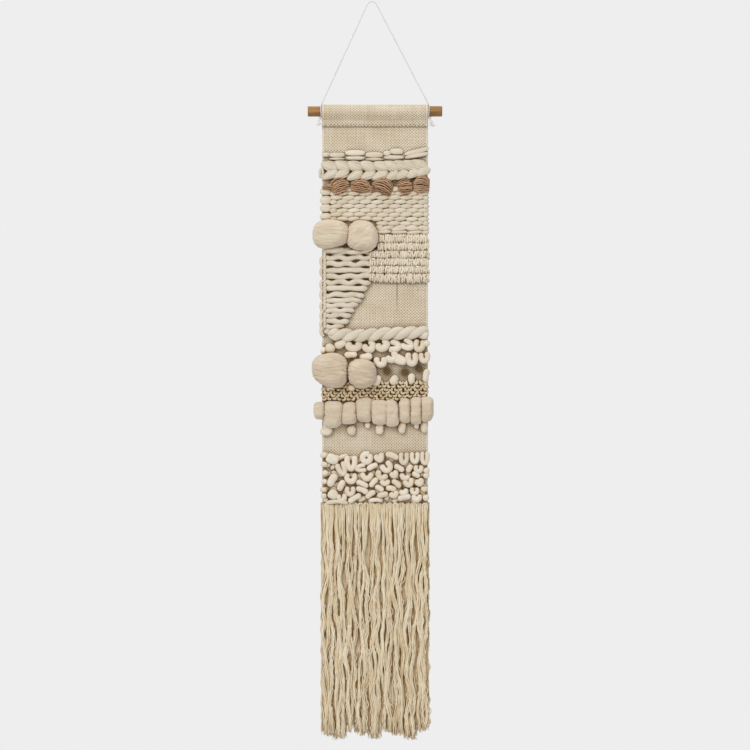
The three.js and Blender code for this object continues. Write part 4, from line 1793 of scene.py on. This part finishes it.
@dataclass
class Rope:
    """Two fat rovings twisted together and couched across the cloth."""

    pitch: float = 48.8 * MM
    spread: float = 4.9 * MM
    strand: float = 7.9 * MM
    path: Sequence[tuple[float, float]] = (
        (16, 15), (33.8, 15), (62.2, 17.3), (88.2, 15.8), (112.6, 14.2), (135.4, 13.4),
        (159.8, 12.6), (180.3, 11.2), (200, 12.3),
    )  # across and drop, in mm

    def build(self) -> None:
        """Twists the rope."""
        room = Room.of("rope_row")
        rng = chance(Seed.ROPE)
        yarn = Skein("twisted_rope", SOFT_ROVING)
        us, drops = np.array(self.path).T
        x = np.linspace(across(11), room.right + 1 * MM, 170)
        z = room.top - np.interp(x, across(us), drops * MM)
        flatness = (room.depth / 2) / (self.spread + self.strand)
        middle = (room.front + CLOTH_FRONT) / 2
        taper = np.sqrt(np.clip(np.minimum((x - x[0]) / 2, x[-1] - x) / (7 * MM), 0.02, 1))
        for start in (0, math.pi):
            turn = (x - across(33.8)) / self.pitch * math.tau + start
            line = np.stack([x, middle - np.cos(turn) * self.spread * flatness * taper,
                             z + np.sin(turn) * self.spread * taper], axis=1)
            half = self.strand * taper * (1 + 0.04 * sway(rng, x, (0.04, 0.09)))
            yarn.lay(line, half, half * flatness, rng.uniform(-0.2, 0.6), sides=22, steady=True)
        ridden(yarn.made(), "middle_panel", "rope_row")


def lengthened(line: Points, more: float, count: int) -> Points:
    """A line carried straight on at both ends.

    Args:
        line: The line's points.
        more: How far it goes on at each end.
        count: How many points to give back.

    Returns:
        Evenly spaced points.
    """
    first = line[0] + unit(line[0] - line[1]) * more
    last = line[-1] + unit(line[-1] - line[-2]) * more
    return even_steps(np.vstack([first, line, last]), count)


class Curl(Enum):
    """How far round a loop of cord bends, in degrees."""

    STRAIGHT = 0
    BEAN = 110
    HOOK = 190
    U = 245
    RING = 325


@dataclass(frozen=True)
class Loop:
    """One loop of cord, in millimetres."""

    u: float
    drop: float
    width: float
    height: float
    curl: Curl
    lean: float = 0.0
    thick: float = 10.0

    def flat(self, count: int, thick: float) -> Points:
        """The loop's middle line (x, z) about its own middle, in metres.

        Args:
            count: How many points to give back.
            thick: The cord's thickness in mm.

        Returns:
            The points.
        """
        if self.curl is Curl.STRAIGHT:
            reach = max(math.hypot(max(self.width - thick, 0), max(self.height - thick, 0)), 2)
            t = np.linspace(-0.5, 0.5, count)
            line = np.stack([t * reach, 0.06 * reach * np.cos(t * math.pi)], axis=1)
        else:
            t = np.linspace(-0.5, 0.5, count) * math.radians(self.curl.value)
            line = np.stack([np.sin(t), -np.cos(t)], axis=1)
            low, high = line.min(axis=0), line.max(axis=0)
            size = np.array([max(self.width - thick, 3), max(self.height - thick, 2.5)])
            line = (line - (low + high) / 2) / (high - low) * size
        return turned(line, self.lean) * MM

    def lay(self, yarn: Skein, rng: Chance, top: float, room: Room) -> None:
        """Lays the loop on the cloth.

        Args:
            yarn: The skein to lay it in.
            rng: The row's own chance.
            top: The height its drop is measured from.
            room: The row's room.
        """
        thick = min(self.thick, min(self.width, self.height) * 0.98)
        if self.curl in (Curl.U, Curl.RING, Curl.HOOK):
            thick = min(thick, self.width * 0.475)
        flat = self.flat(40, thick)
        t = np.linspace(0, 1, 40)
        half = thick / 2 * MM
        deep = min(half, (CLOTH_FRONT - room.front) / 2)
        low = CLOTH_FRONT + 1.2 * MM - deep
        high = room.front + deep + rng.uniform(0, 1.2) * MM
        y = low + (high - low) * np.sin(t * math.pi) ** 0.38
        line = np.stack([across(self.u) + flat[:, 0], y, top - self.drop * MM + flat[:, 1]], axis=1)
        line = lengthened(line, half * 0.62, 34)
        shape = rounded(line, half, 0.95) * (1 + 0.05 * sway(rng, np.linspace(0, 1, 34), (0.6,)))
        yarn.lay(line, shape, np.minimum(shape, deep), rng.uniform(-0.8, 1), sides=16)


@dataclass
class LoopBand:
    """A band of cord loops in the order they were tied."""

    name: str
    node: str
    body: str
    loops: Sequence[Loop]
    seed: int
    finish: Finish
    level: str | None = None  # the node whose top the drops are measured from
    offset: float = 0.0
    under: int = 0  # shorter loops that fill the gaps below
    proud: float = 0.0  # how much further out than its room the band stands
    grow: float = 1.1  # how much bigger the loops are than their table says
    plump: float = 1.34  # how much thicker their cord is

    def build(self) -> None:
        """Ties the loops."""
        room = Room.of(self.node)
        top = (Room.of(self.level).top if self.level else room.top) + self.offset * MM
        rng = chance(self.seed)
        yarn = Skein(self.name, self.finish)
        out = replace(room, front=room.front - self.proud)
        for loop in self.loops:
            replace(loop, width=loop.width * self.grow, height=loop.height * self.grow,
                    thick=loop.thick * self.plump).lay(yarn, rng, top, out)
        low = replace(room, front=room.front * 0.36)
        for k in range(self.under):
            u = (k + rng.uniform(0.2, 0.8)) * 200 / self.under
            z = rng.uniform(room.bottom - 4 * MM, room.top - 7 * MM)
            Loop(min(max(u, 6), 194), 0, rng.uniform(15, 21), rng.uniform(10, 14),
                 Curl.STRAIGHT, rng.uniform(-60, 70), 9).lay(yarn, rng, z, low)
        ridden(yarn.made(), self.body, self.node)


@dataclass
class BoucleBand:
    """Slanting rows of plump two-ply nubs of jute yarn."""

    nub: float = 9.6
    yarn: float = 4.4
    rows: int = 6
    columns: int = 22

    def build(self) -> None:
        """Loops the nubs across the cloth."""
        room = Room.of("boucle_band")
        rng = chance(Seed.BOUCLE)
        yarn = Skein("jute_nubs", JUTE)
        top, bottom = room.top + 3 * MM, room.bottom - 7 * MM
        for row in range(self.rows):
            for column in range(-1, self.columns + 1):
                u = (column + 0.5 + 0.42 * row) * 200 / self.columns % 200
                z = top + (bottom - top) * (row + 0.5) / self.rows + rng.uniform(-0.8, 0.8) * MM
                lean = (35 if (row + column) % 2 else -40) + rng.uniform(-25, 25)
                size = self.nub * rng.uniform(0.85, 1.15)
                Loop(min(max(u + rng.uniform(-1, 1), 3), 197), 0, size * 1.1, size * 0.72,
                     Curl.BEAN, lean, self.yarn * rng.uniform(0.9, 1.15)
                     ).lay(yarn, rng, z, room)
        ridden(yarn.made(), "middle_panel", "boucle_band")


# ---- felt puffs


@dataclass
class Puff:
    """One stuffed felt cushion, sewn down round its back edge."""

    node: str
    body: str
    name: str
    left: float
    right: float
    top: float
    bottom: float
    front: float
    wrinkle: float = 0.7 * MM
    drape: float = 0.0  # degrees the wrinkles run from level
    seed: int = 0
    square: float = 0.9  # 1 for a round cushion, and less for a squarer one
    finish: Finish = FELT

    def start(self, cell: float) -> bpy.types.Object:
        """A plain cushion a little smaller than it will be.

        Args:
            cell: How close its points lie.

        Returns:
            The cushion, ready to be filled.
        """
        rows, sides = 14, 28
        middle = ((self.left + self.right) / 2, (self.top + self.bottom) / 2)
        half = ((self.right - self.left) / 2 + 0.8 * MM, (self.top - self.bottom) / 2 - 0.5 * MM)
        back = CLOTH_FRONT - 0.8 * MM
        deep = (back - self.front) * 0.86
        made = bmesh.new()
        rings = []
        for i in range(1, rows):
            tilt = math.pi * i / rows
            rise = math.cos(tilt)
            depth = -rise * deep if rise > 0 else -rise * 1.2 * MM
            ring = []
            for k in range(sides):
                angle = k / sides * math.tau
                c, s = math.cos(angle), math.sin(angle)
                out = 1 + 0.045 * math.sin(2 * angle + self.seed) + 0.035 * math.sin(
                    3 * angle + self.seed * 1.7)
                c = math.copysign(abs(c) ** self.square, c) * math.sin(tilt) ** 0.5 * out
                s = math.copysign(abs(s) ** self.square, s) * math.sin(tilt) ** 0.5 * out
                ring.append(made.verts.new(
                    (middle[0] + c * half[0], back + depth, middle[1] + s * half[1])))
            rings.append(ring)
        for a, b in zip(rings, rings[1:]):
            for k in range(sides):
                j = (k + 1) % sides
                made.faces.new((a[k], b[k], b[j], a[j]))
        made.faces.new(rings[0])
        made.faces.new(rings[-1][::-1])
        bmesh.ops.recalc_face_normals(made, faces=made.faces)
        mesh = bpy.data.meshes.new(self.name)
        made.to_mesh(mesh)
        made.free()
        piece = bpy.data.objects.new(self.name, mesh)
        bpy.context.scene.collection.objects.link(piece)
        remesh = piece.modifiers.new("even", "REMESH")
        remesh.mode = "VOXEL"
        remesh.voxel_size = cell
        settle(piece)
        return piece

    def pin(self, piece: bpy.types.Object) -> None:
        """Holds the back edge where it is sewn to the cloth.

        Args:
            piece: The cushion.
        """
        group = piece.vertex_groups.new(name="sewn")
        for vertex in piece.data.vertices:
            if vertex.co.y > CLOTH_FRONT - 3.2 * MM:
                group.add([vertex.index], 1.0, "REPLACE")

    def shape(self, piece: bpy.types.Object, before: Points) -> None:
        """Keeps the filled felt inside its room, then adds the folds of its skin.

        Args:
            piece: The filled cushion.
            before: Where its points were before it was filled.
        """
        points = read_points(piece)
        moved = points - before
        far = np.linalg.norm(moved, axis=1, keepdims=True)
        points = before + moved * np.minimum(1, 9 * MM / np.maximum(far, 1e-9))
        points[:, 1] = np.clip(points[:, 1], self.front, CLOTH_FRONT + 0.6 * MM)
        write_points(piece, points)
        soften = piece.modifiers.new("smooth", "SUBSURF")
        soften.levels = soften.render_levels = 2
        settle(piece)
        self._folds(piece)

    def _folds(self, piece: bpy.types.Object) -> None:
        """Pulls creases and hair-fine drapes into the skin.

        Args:
            piece: The filled cushion.
        """
        mesh = piece.data
        points = read_points(piece)
        normals = np.empty(len(points) * 3, np.float32)
        mesh.vertices.foreach_get("normal", normals)
        normals = normals.reshape(-1, 3)
        angle = math.radians(self.drape)
        c, s = math.cos(angle), math.sin(angle)
        lifts = np.empty(len(points))
        middle = ((self.left + self.right) / 2, (self.top + self.bottom) / 2)
        for i, (x, y, z) in enumerate(points):
            a, b = x - middle[0], z - middle[1]
            run, rise = a * c + b * s, b * c - a * s
            drift = noise.noise(Vector((x * 30, self.seed * 3.1, z * 30))) * 0.5
            fold = noise.noise(Vector((run * 34, y * 60, rise * 210 + drift * 3 + self.seed)))
            hair = noise.noise(Vector((run * 90, y * 240, rise * 620 + drift * 5)))
            lump = noise.noise(Vector((x * 48 + self.seed, y * 40, z * 48)))
            lifts[i] = -abs(fold) * 1.7 + 0.4 + hair * 0.35 + lump * 1.3
        deep = np.clip((CLOTH_FRONT - points[:, 1]) / (9 * MM), 0.15, 1)
        points = points + normals * (lifts * self.wrinkle * deep)[:, None]
        write_points(piece, points)


def read_points(piece: bpy.types.Object) -> Points:
    """A mesh's points as one array.

    Args:
        piece: The piece.

    Returns:
        Its points (n, 3).
    """
    points = np.empty(len(piece.data.vertices) * 3, np.float32)
    piece.data.vertices.foreach_get("co", points)
    return points.reshape(-1, 3).astype(float)


def write_points(piece: bpy.types.Object, points: Points) -> None:
    """Moves a mesh's points to these places."""
    piece.data.vertices.foreach_set("co", points.astype(np.float32).ravel())
    piece.data.update()


def settle(piece: bpy.types.Object) -> None:
    """Makes a piece's modifiers part of its mesh.

    Args:
        piece: The piece.
    """
    held = bpy.context.evaluated_depsgraph_get()
    held.update()
    mesh = bpy.data.meshes.new_from_object(piece.evaluated_get(held))
    old = piece.data
    piece.modifiers.clear()
    piece.data = mesh
    bpy.data.meshes.remove(old)
    mesh.name = piece.name


@dataclass
class Puffs:
    """All the stuffed cushions, filled together by one cloth simulation."""

    cell: float = 4 * MM
    pressure: float = 4.0
    stiffness: float = 8
    bending: float = 0.3
    frames: int = 20
    puffs: list[Puff] = field(default_factory=list)

    def _list(self) -> list[Puff]:
        """The four big cushions and the nine small ones.

        Returns:
            The cushions, big ones first.
        """
        upper, lower = Room.of("upper_puff_left"), Room.of("lower_puff_left")
        front = upper.front
        big = [
            Puff("upper_puff_left", "upper_panel", "felt_puff_a", across(-18), across(50.5),
                 upper.top + 1.5 * MM, upper.bottom - 3 * MM, front, 1.2 * MM, -8, 1, 0.84),
            Puff("upper_puff_right", "upper_panel", "felt_puff_b", across(46.5), across(105),
                 upper.top - 1 * MM, upper.bottom - 8 * MM, front, 1.1 * MM, 40, 2, 0.84),
            Puff("lower_puff_left", "middle_panel", "felt_puff_c", across(-18), across(51),
                 lower.top + 0.5 * MM, lower.bottom - 4 * MM, front, 1.7 * MM, -6, 3, 0.84,
                 TAN_AND_SHADE_FELT),
            Puff("lower_puff_right", "middle_panel", "felt_puff_d", across(47.5), across(103),
                 lower.top - 12 * MM, lower.bottom - 5 * MM, front, 1.6 * MM, -22, 4, 0.84,
                 TAN_AND_SHADE_FELT),
        ]
        edges = ((-15.6, 5.2, 756, 788), (1.4, 39.2, 754, 805), (37.3, 64.7, 756, 799.5),
                 (64.7, 94, 746.6, 795.7), (92.1, 125.2, 750, 799.5), (118.6, 145, 752, 803),
                 (145, 167.7, 750, 795.7), (165.8, 189.4, 746.6, 797.6),
                 (186.6, 209.3, 744.7, 793.8))
        small = [
            Puff(f"small_puff_{k}", "middle_panel", f"felt_pad_{k}", across(left - 0.6),
                 across(right + 0.6), -(top - 1) * MM, -(bottom + 1) * MM,
                 Room.of(f"small_puff_{k}").front, 1.0 * MM, 60 * math.sin(k * 2.3), 10 + k, 0.55)
            for k, (left, right, top, bottom) in enumerate(edges, 1)
        ]
        return big + small

    def build(self) -> None:
        """Fills the cushions, creases them and dresses them."""
        self.puffs = self._list()
        pieces = [puff.start(self.cell) for puff in self.puffs]
        before = [read_points(piece) for piece in pieces]
        self._fill(pieces)
        for puff, piece, points in zip(self.puffs, pieces, before):
            puff.shape(piece, points)
            piece.data.materials.clear()
            piece.data.materials.append(puff.finish.material())
            piece.data.shade_smooth()
            ridden(piece, puff.body, puff.node)

    def _fill(self, pieces: Sequence[bpy.types.Object]) -> None:
        """Blows the cushions up against their sewn edges.

        Args:
            pieces: The cushions, which keep the filled shape.
        """
        scene = bpy.context.scene
        scene.frame_set(1)
        for puff, piece in zip(self.puffs, pieces):
            puff.pin(piece)
            cloth = piece.modifiers.new("fill", "CLOTH")
            cloth.settings.quality = 6
            cloth.settings.mass = 0.2
            cloth.settings.use_pressure = True
            cloth.settings.uniform_pressure_force = self.pressure
            cloth.settings.tension_stiffness = self.stiffness
            cloth.settings.compression_stiffness = self.stiffness
            cloth.settings.bending_stiffness = self.bending
            cloth.settings.vertex_group_mass = "sewn"
            cloth.settings.effector_weights.gravity = 0
            cloth.point_cache.frame_start = 1
            cloth.point_cache.frame_end = self.frames
        for number in range(1, self.frames + 1):
            scene.frame_set(number)
        for piece in pieces:
            settle(piece)
        scene.frame_set(1)


# ---- fringe


@dataclass
class Fringe:
    """Nine bundles of wavy yarn looped into the cloth's end."""

    strands: int = 99
    points: int = 84
    thick: float = 2.2 * MM
    locks: int = 3
    twist: float = 0.8
    gather: float = 60 * MM  # how far down the strands have drawn together
    bend: float = 60 * MM  # not used; the bundles are not bent where they swing

    def build(self) -> None:
        """Hangs the nine bundles."""
        hinge = Room.of("lower_cloth").bottom
        for k in range(1, 10):
            room = Room.of(f"fringe_bundle_{k}")
            rng = chance(Seed.FRINGE + k)
            yarn = Skein(f"fringe_hank_{k}", FRINGE_WOOL)
            self._bundle(yarn, rng, room)
            piece = yarn.made()
            middle = ((room.left + room.right) / 2, (room.front + room.back) / 2)
            hinge + 0.5 * MM
            hinge - self.bend
            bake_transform(piece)
            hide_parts(f"fringe_bundle_{k}")
            report(piece)

    def _bundle(self, yarn: Skein, rng: Chance, room: Room) -> None:
        """Lays one bundle's strands: arched at the top, then drawn into locks.

        Args:
            yarn: The skein to lay them in.
            rng: The bundle's own chance.
            room: The bundle's room.
        """
        middle = (room.left + room.right) / 2
        s = np.linspace(0, 1, self.points)
        drop = s * room.height
        locks = [self._lock(rng, drop, (k + 0.5) / self.locks * 2 - 1, room) for k in range(self.locks)]
        start, crown = 0.0, 0.0
        for strand in range(self.strands):
            behind = strand % 3 == 0
            if strand % 2 == 0:
                start, crown = rng.uniform(-1, 1), rng.uniform(0.2, 4.4) * MM
            else:
                start = math.copysign(1, start) - start
            if behind:
                start = (strand + 1.5) / self.strands * 2 - 1
            centre = math.copysign(0.25 * room.width, start)
            free = start * room.width * (0.64 if behind else 0.5)
            lock = min(int((start + 1) / 2 * self.locks), self.locks - 1)
            side, inward, hold = locks[lock]
            angle, radius = rng.uniform(0, math.tau), math.sqrt(rng.uniform(0, 1))
            turn = angle + drop / rng.uniform(0.12, 0.24) * self.twist
            bound = side + np.cos(turn) * radius * 3.9 * MM
            ease = np.clip(drop / self.gather, 0, 1) ** 1.3
            x = free + (bound - free) * ease * (0.06 if behind else hold * 0.9)
            stray = 2.2 if strand % 11 == 5 else 0.6
            x = x + sway(rng, drop, (0.052, 0.033, 0.021)) * stray * MM * np.clip(s * 5, 0, 1)
            deep = room.back - 2 * MM if behind else room.front + 3.2 * MM
            y = (deep + inward * (0.3 if behind else 1.0)
                 + np.sin(turn) * radius * 2.8 * MM * (0.5 if behind else 1.0)
                 + sway(rng, drop, (0.06, 0.037)) * 0.4 * MM)
            end = room.height * min(1.0, 1 - abs(rng.normal(0, 0.02)) + inward[-1] * 2)
            near = np.exp(-drop / (9 * MM))
            root = room.back - 3 * MM if behind else room.front + 0.4 * MM + crown
            y = np.clip(y * (1 - near) + root * near, room.front - 0.5 * MM, room.back + 1 * MM)
            head = room.top + (2 if behind else -3.6) * MM
            line = np.stack([middle + x, y, head - s * (end + head - room.top)], axis=1)
            if not behind:
                line = self._arched(line, middle + centre)
            half = self.thick / 2 * rng.uniform(0.8, 1.15) * np.ones(len(line))
            half[-6:] *= np.linspace(1, 0.5, 6)
            yarn.lay(line, half, tints=rng.uniform(-1, 1), sides=6)

    def _arched(self, line: Points, centre: float) -> Points:
        """A strand's line with a quarter turn before it, up to the middle of its loop.

        Args:
            line: The strand's line, from the top down.
            centre: Where the loop's middle is.

        Returns:
            The longer line.
        """
        angle = np.linspace(math.pi / 2, 0, 9)[:-1]
        wide = line[0, 0] - centre
        turn = np.stack([centre + np.cos(angle) * wide, line[0, 1] + 0 * angle,
                         line[0, 2] + np.sin(angle) * abs(wide)], axis=1)
        return np.vstack([turn, line])

    def _lock(self, rng: Chance, drop: Points, place: float, room: Room) -> tuple[Points, Points, Points]:
        """One lock that a share of a bundle's strands draw together in.

        Args:
            rng: The bundle's own chance.
            drop: How far down each point hangs.
            place: The lock's place across, from -1 to 1.
            room: The bundle's room.

        Returns:
            The lock's way across, its way inward and how tight it is.
        """
        side = (place * room.width * 0.36
                + sway(rng, drop, (0.33, 0.17, 0.085)) * 3.8 * MM * np.clip(drop / 0.1, 0, 1))
        inward = sway(rng, drop, (0.27, 0.14)) * 1.5 * MM
        hold = np.clip(0.8 + 0.2 * sway(rng, drop, (0.23, 0.12)), 0.4, 1.0)
        return side, inward, hold


# ---- room and camera


@dataclass
class Studio:
    """A pale room with soft light and a long lens square on to the hanging."""

    lens: float = 152.4
    sensor: float = 36.0
    width: float = 1.4175
    aim: tuple[float, float] = (0.006, -0.705)
    paper: Colour = shade(238, 238, 238)
    air: Colour = shade(236, 238, 242)
    glow: float = 0.55
    floor: Painted = Painted("matt_floor", "floor", shade(236, 236, 235))
    floor_half: float = 3.0
    floor_height: float = -1.9
    lights: Sequence[tuple[str, tuple[float, float, float], float, float]] = (
        ("key_light", (-1.7, -2.6, 1.5), 1.6, 62), ("fill_light", (2.4, -2.4, 0.1), 2.2, 13),
        ("top_light", (0.1, -0.5, 2.0), 1.2, 12), ("back_light", (0.8, 3.0, 0.8), 2.0, 16),
    )  # name, place, width in metres and watts

    def build(self) -> None:
        """Sets the camera, the lights and the floor."""
        scene = bpy.context.scene
        scene.view_settings.view_transform = "Standard"
        self._camera(scene)
        self._world(scene)
        for facts in self.lights:
            self._light(*facts)
        self._floor()

    def _camera(self, scene: bpy.types.Scene) -> None:
        """Adds the camera.

        Args:
            scene: The scene it looks at.
        """
        eye = bpy.data.cameras.new("front_camera")
        eye.lens, eye.sensor_width = self.lens, self.sensor
        eye.clip_end = 50
        away = self.width * self.lens / self.sensor
        camera = bpy.data.objects.new("front_camera", eye)
        camera.location = (self.aim[0], -away, self.aim[1])
        camera.rotation_euler = (math.pi / 2, 0, 0)
        scene.collection.objects.link(camera)
        scene.camera = camera

    def _world(self, scene: bpy.types.Scene) -> None:
        """Lights the room all round, with plain paper behind for the camera.

        Args:
            scene: The scene it is for.
        """
        scene.world = bpy.data.worlds.new("paper_room")
        graph = Graph(scene.world)
        seen = graph.node("ShaderNodeBackground", inputs={"Color": self.paper})
        given = graph.node("ShaderNodeBackground", inputs={"Color": self.air, "Strength": self.glow})
        camera_ray = graph.node("ShaderNodeLightPath", output="Is Camera Ray")
        both = graph.node("ShaderNodeMixShader", inputs={0: camera_ray, 1: given, 2: seen})
        graph.node("ShaderNodeOutputWorld", inputs={"Surface": both})

    def _light(self, name: str, place: tuple[float, float, float], size: float, power: float) -> None:
        """Adds one soft square light that looks at the hanging.

        Args:
            name: The light's name.
            place: Where it stands.
            size: How wide it is.
            power: Its watts.
        """
        lamp = bpy.data.lights.new(name, "AREA")
        lamp.size, lamp.energy = size, power
        light = bpy.data.objects.new(name, lamp)
        light.location = place
        aim = Vector((self.aim[0], 0, self.aim[1])) - Vector(place)
        light.rotation_euler = aim.to_track_quat("-Z", "Y").to_euler()
        light.visible_camera = False
        bpy.context.scene.collection.objects.link(light)

    def _floor(self) -> None:
        """Lays a plain floor well below the fringe."""
        made = bmesh.new()
        bmesh.ops.create_grid(made, x_segments=8, y_segments=8, size=self.floor_half)
        for vertex in made.verts:
            vertex.co.z = self.floor_height
        mesh = bpy.data.meshes.new("studio_floor")
        made.to_mesh(mesh)
        made.free()
        floor = bpy.data.objects.new("studio_floor", mesh)
        mesh.materials.append(self.floor.material())
        bpy.context.scene.collection.objects.link(floor)


S, B, H, U, R = Curl.STRAIGHT, Curl.BEAN, Curl.HOOK, Curl.U, Curl.RING

LOOP_ROWS = (
    LoopBand("looped_cord_upper", "loop_row_1", "middle_panel", (
        Loop(2.3, 18.7, 10, 14, S, 80, 9), Loop(14.6, 14.7, 17, 22, B, 70, 13),
        Loop(35.4, 6.1, 27, 19, S, 31, 12), Loop(59.8, 9.6, 31, 22, U, 0, 11),
        Loop(89.3, 10.8, 26, 23, U, 35, 11), Loop(115, 8.8, 28, 22, U, 35, 11),
        Loop(137.3, 10, 25, 24, H, 80, 11.5), Loop(161.4, 6.9, 23, 26, H, 60, 11.5),
        Loop(183.5, 8.8, 22, 25, U, -8, 10.5), Loop(197, 4, 12, 14, B, -40, 9),
    ), Seed.LOOPS_UPPER, LOOP_WOOL, "rope_row", -27),
    LoopBand("looped_cord_lower", "loop_row_2", "middle_panel", (
        Loop(54, 27.3, 27, 12, S, 4, 11.5), Loop(83, 30.5, 26, 17, B, 15, 12),
        Loop(110.2, 39.9, 24, 21, U, 0, 10.5), Loop(132.6, 31.3, 25, 20, H, 40, 11),
        Loop(147.2, 36, 18, 27, B, 70, 10.5), Loop(169.6, 34.4, 24, 27, U, 0, 10.5),
        Loop(193.2, 31.6, 21, 22, U, 6, 9.5),
    ), Seed.LOOPS_LOWER, LOOP_WOOL, "rope_row", -27),
)

PEG_ROWS = (
    LoopBand("felt_pegs_upper", "peg_row_upper", "middle_panel", (
        Loop(102.8, 716, 17, 25, S, 60, 13), Loop(136.2, 714.9, 14, 21, S, 60, 11.5),
        Loop(169.3, 711.7, 12, 20, S, 90, 11.5), Loop(197, 706, 11, 26, S, 80, 10.5),
        Loop(55.9, 729, 14, 12, B, 0, 9), Loop(15.7, 729, 15, 8, S, 0, 7),
    ), Seed.PEGS_UPPER, LOOP_WOOL, "hanging_cord", -1.6, proud=4 * MM),
    LoopBand("felt_pegs_lower", "peg_row_lower", "middle_panel", (
        Loop(56.2, 809, 15, 23, S, 92, 14.5), Loop(86.4, 799.5, 10, 14, S, 90, 9),
        Loop(109.1, 807, 14, 24, S, 88, 13.5), Loop(151.7, 804, 13, 25, S, 84, 12.5),
        Loop(179, 799, 9, 16, S, 85, 8.5), Loop(193.2, 803, 12, 24, S, 95, 11),
        Loop(8, 808, 25, 22, B, 60, 11),
    ), Seed.PEGS_LOWER, LOOP_WOOL, "hanging_cord", -1.6, proud=2 * MM),
)

PILE = (
    ((18.9, 13.7, 19, 27, B, 70, 14), (54.6, 21.3, 24.4, 30, U, 0, 10.5),
     (83.8, 11.8, 24.4, 23.6, R, -40, 10.6), (108.2, 11.4, 20, 18.5, B, 20, 10),
     (132.3, 8.2, 27, 15, S, -20), (154.6, 12.9, 19, 24.4, U), (175.1, 11.4, 19, 23, U),
     (194, 12.2, 17, 26, U, 0, 8), (3.1, 6.3, 14, 10, S, 10), (4, 24, 14, 10, S, -5)),
    ((37.3, 32.6, 20, 27.6, H, 20), (73.2, 30.7, 17, 22, H, -80),
     (94.8, 28.4, 23, 15.5, S, 27), (122.4, 29.2, 23, 22, U, 35),
     (145.7, 31.1, 22, 15, S, -30), (165.3, 31.5, 14, 18, S, 58), (182.2, 32.6, 18, 16, U),
     (197.2, 35.5, 12, 12, B, 30, 8), (5.5, 40.2, 13, 10, S, 0)),
    ((19.7, 53.6, 21, 27, S, 60, 13), (54.3, 50, 24, 21.5, U), (84.6, 46.8, 26, 18, B),
     (111.8, 45.2, 25.2, 18, B, -30), (136.2, 42.6, 18, 16, B, 25),
     (156.2, 47.6, 21.3, 15, B, -15), (177.5, 43.3, 17, 13, S, -30),
     (196.8, 44.9, 12, 11, B, 0, 8), (3.9, 56.7, 13, 10, S, 12)),
    ((36.5, 63.8, 16, 23, S, 65, 11), (75.9, 61, 25, 15.5, S, -25),
     (97.6, 57.8, 18, 20, S, 50), (118.9, 57.8, 21, 14.5, B, 0),
     (140.5, 60.2, 20, 18, S, -42), (163.8, 58.6, 22, 18, B, 20),
     (183.8, 57.8, 18, 17, B, 25), (2.3, 71.7, 13, 10, S, -8)),
    ((20.4, 80.7, 19, 22, B, 50, 13), (53, 74.4, 20, 20, U), (75.9, 72.8, 25, 14, S, -22),
     (108.2, 69.3, 20, 15, S, -30), (130.7, 69.6, 21, 13, S, -12),
     (154.6, 76.4, 19, 14, B, 20), (174.8, 74.4, 18, 16, U), (192.9, 70.1, 13, 11, B, 0, 8)),
    ((37.3, 87.4, 20, 18, H, 10), (61.7, 88.2, 28, 19, S, 30), (91.6, 80.7, 22, 17, S, 36),
     (114.5, 81.5, 23, 14.5, S, 14), (136.2, 80.4, 20, 15, B, 20),
     (155.4, 86.2, 26, 14.5, S, 13), (179, 87, 21, 16, B), (101, 92, 26, 8, S, 0, 7),
     (28, 96, 40, 8, S, 0, 7), (3.1, 83.5, 13, 10, S, 5), (196, 86, 13, 13, B, 0, 9)),
)  # each row's loops: across, drop, width, height, curl, lean and thickness


def bands() -> Iterable[Any]:
    """Everything made of yarn and cloth, in the order it is made."""
    yield GroundCloth()
    yield HemStitching()
    yield ThinStitches()
    yield BraidHalf("soumak_leaves", "soumak_row", (
        (14.5, 11), (38, 10.5), (62, 11), (87, 11.5), (111, 11.5),
        (132, 11), (149.5, 10.5), (166, 9.5), (181, 8.5)),
        33 * MM, 21 * MM, -19, -0.2, 0.5 * MM, Seed.SOUMAK)
    yield BraidHalf("braid_leaves", "braid_row", (
        (15.9, 7.9), (35.4, 8.5), (61.4, 10.4), (86.2, 10), (109.4, 10), (133, 10.5),
        (151.3, 8.8), (172, 6.5), (187, 4.5)),
        34 * MM, 16.5 * MM, 27, -0.35, -1.2 * MM, Seed.BRAID, True)
    yield RoseTufts()
    yield BrickWeave()
    yield RovingWeave()
    yield KnotRows()
    yield Rope()
    yield from LOOP_ROWS
    yield from PEG_ROWS
    yield BoucleBand()
    for k, row in enumerate(PILE, 1):
        loops = tuple(Loop(*facts) for facts in row)
        yield LoopBand(f"pile_loops_{k}", f"pile_row_{k}", "lower_panel", loops,
                       Seed.PILE + k, LOOP_WOOL, "pile_row_1", 1.3, 12, plump=1.16)
    yield Fringe()
    yield Puffs()


def main() -> None:
    """Builds the hanging and its room."""
    logging.basicConfig(level=logging.INFO, format="%(message)s")
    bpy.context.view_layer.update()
    Studio().build()
    HangingCord().build()
    Dowel().build()
    for band in bands():
        band.build()


if __name__ == "__main__":
    main()
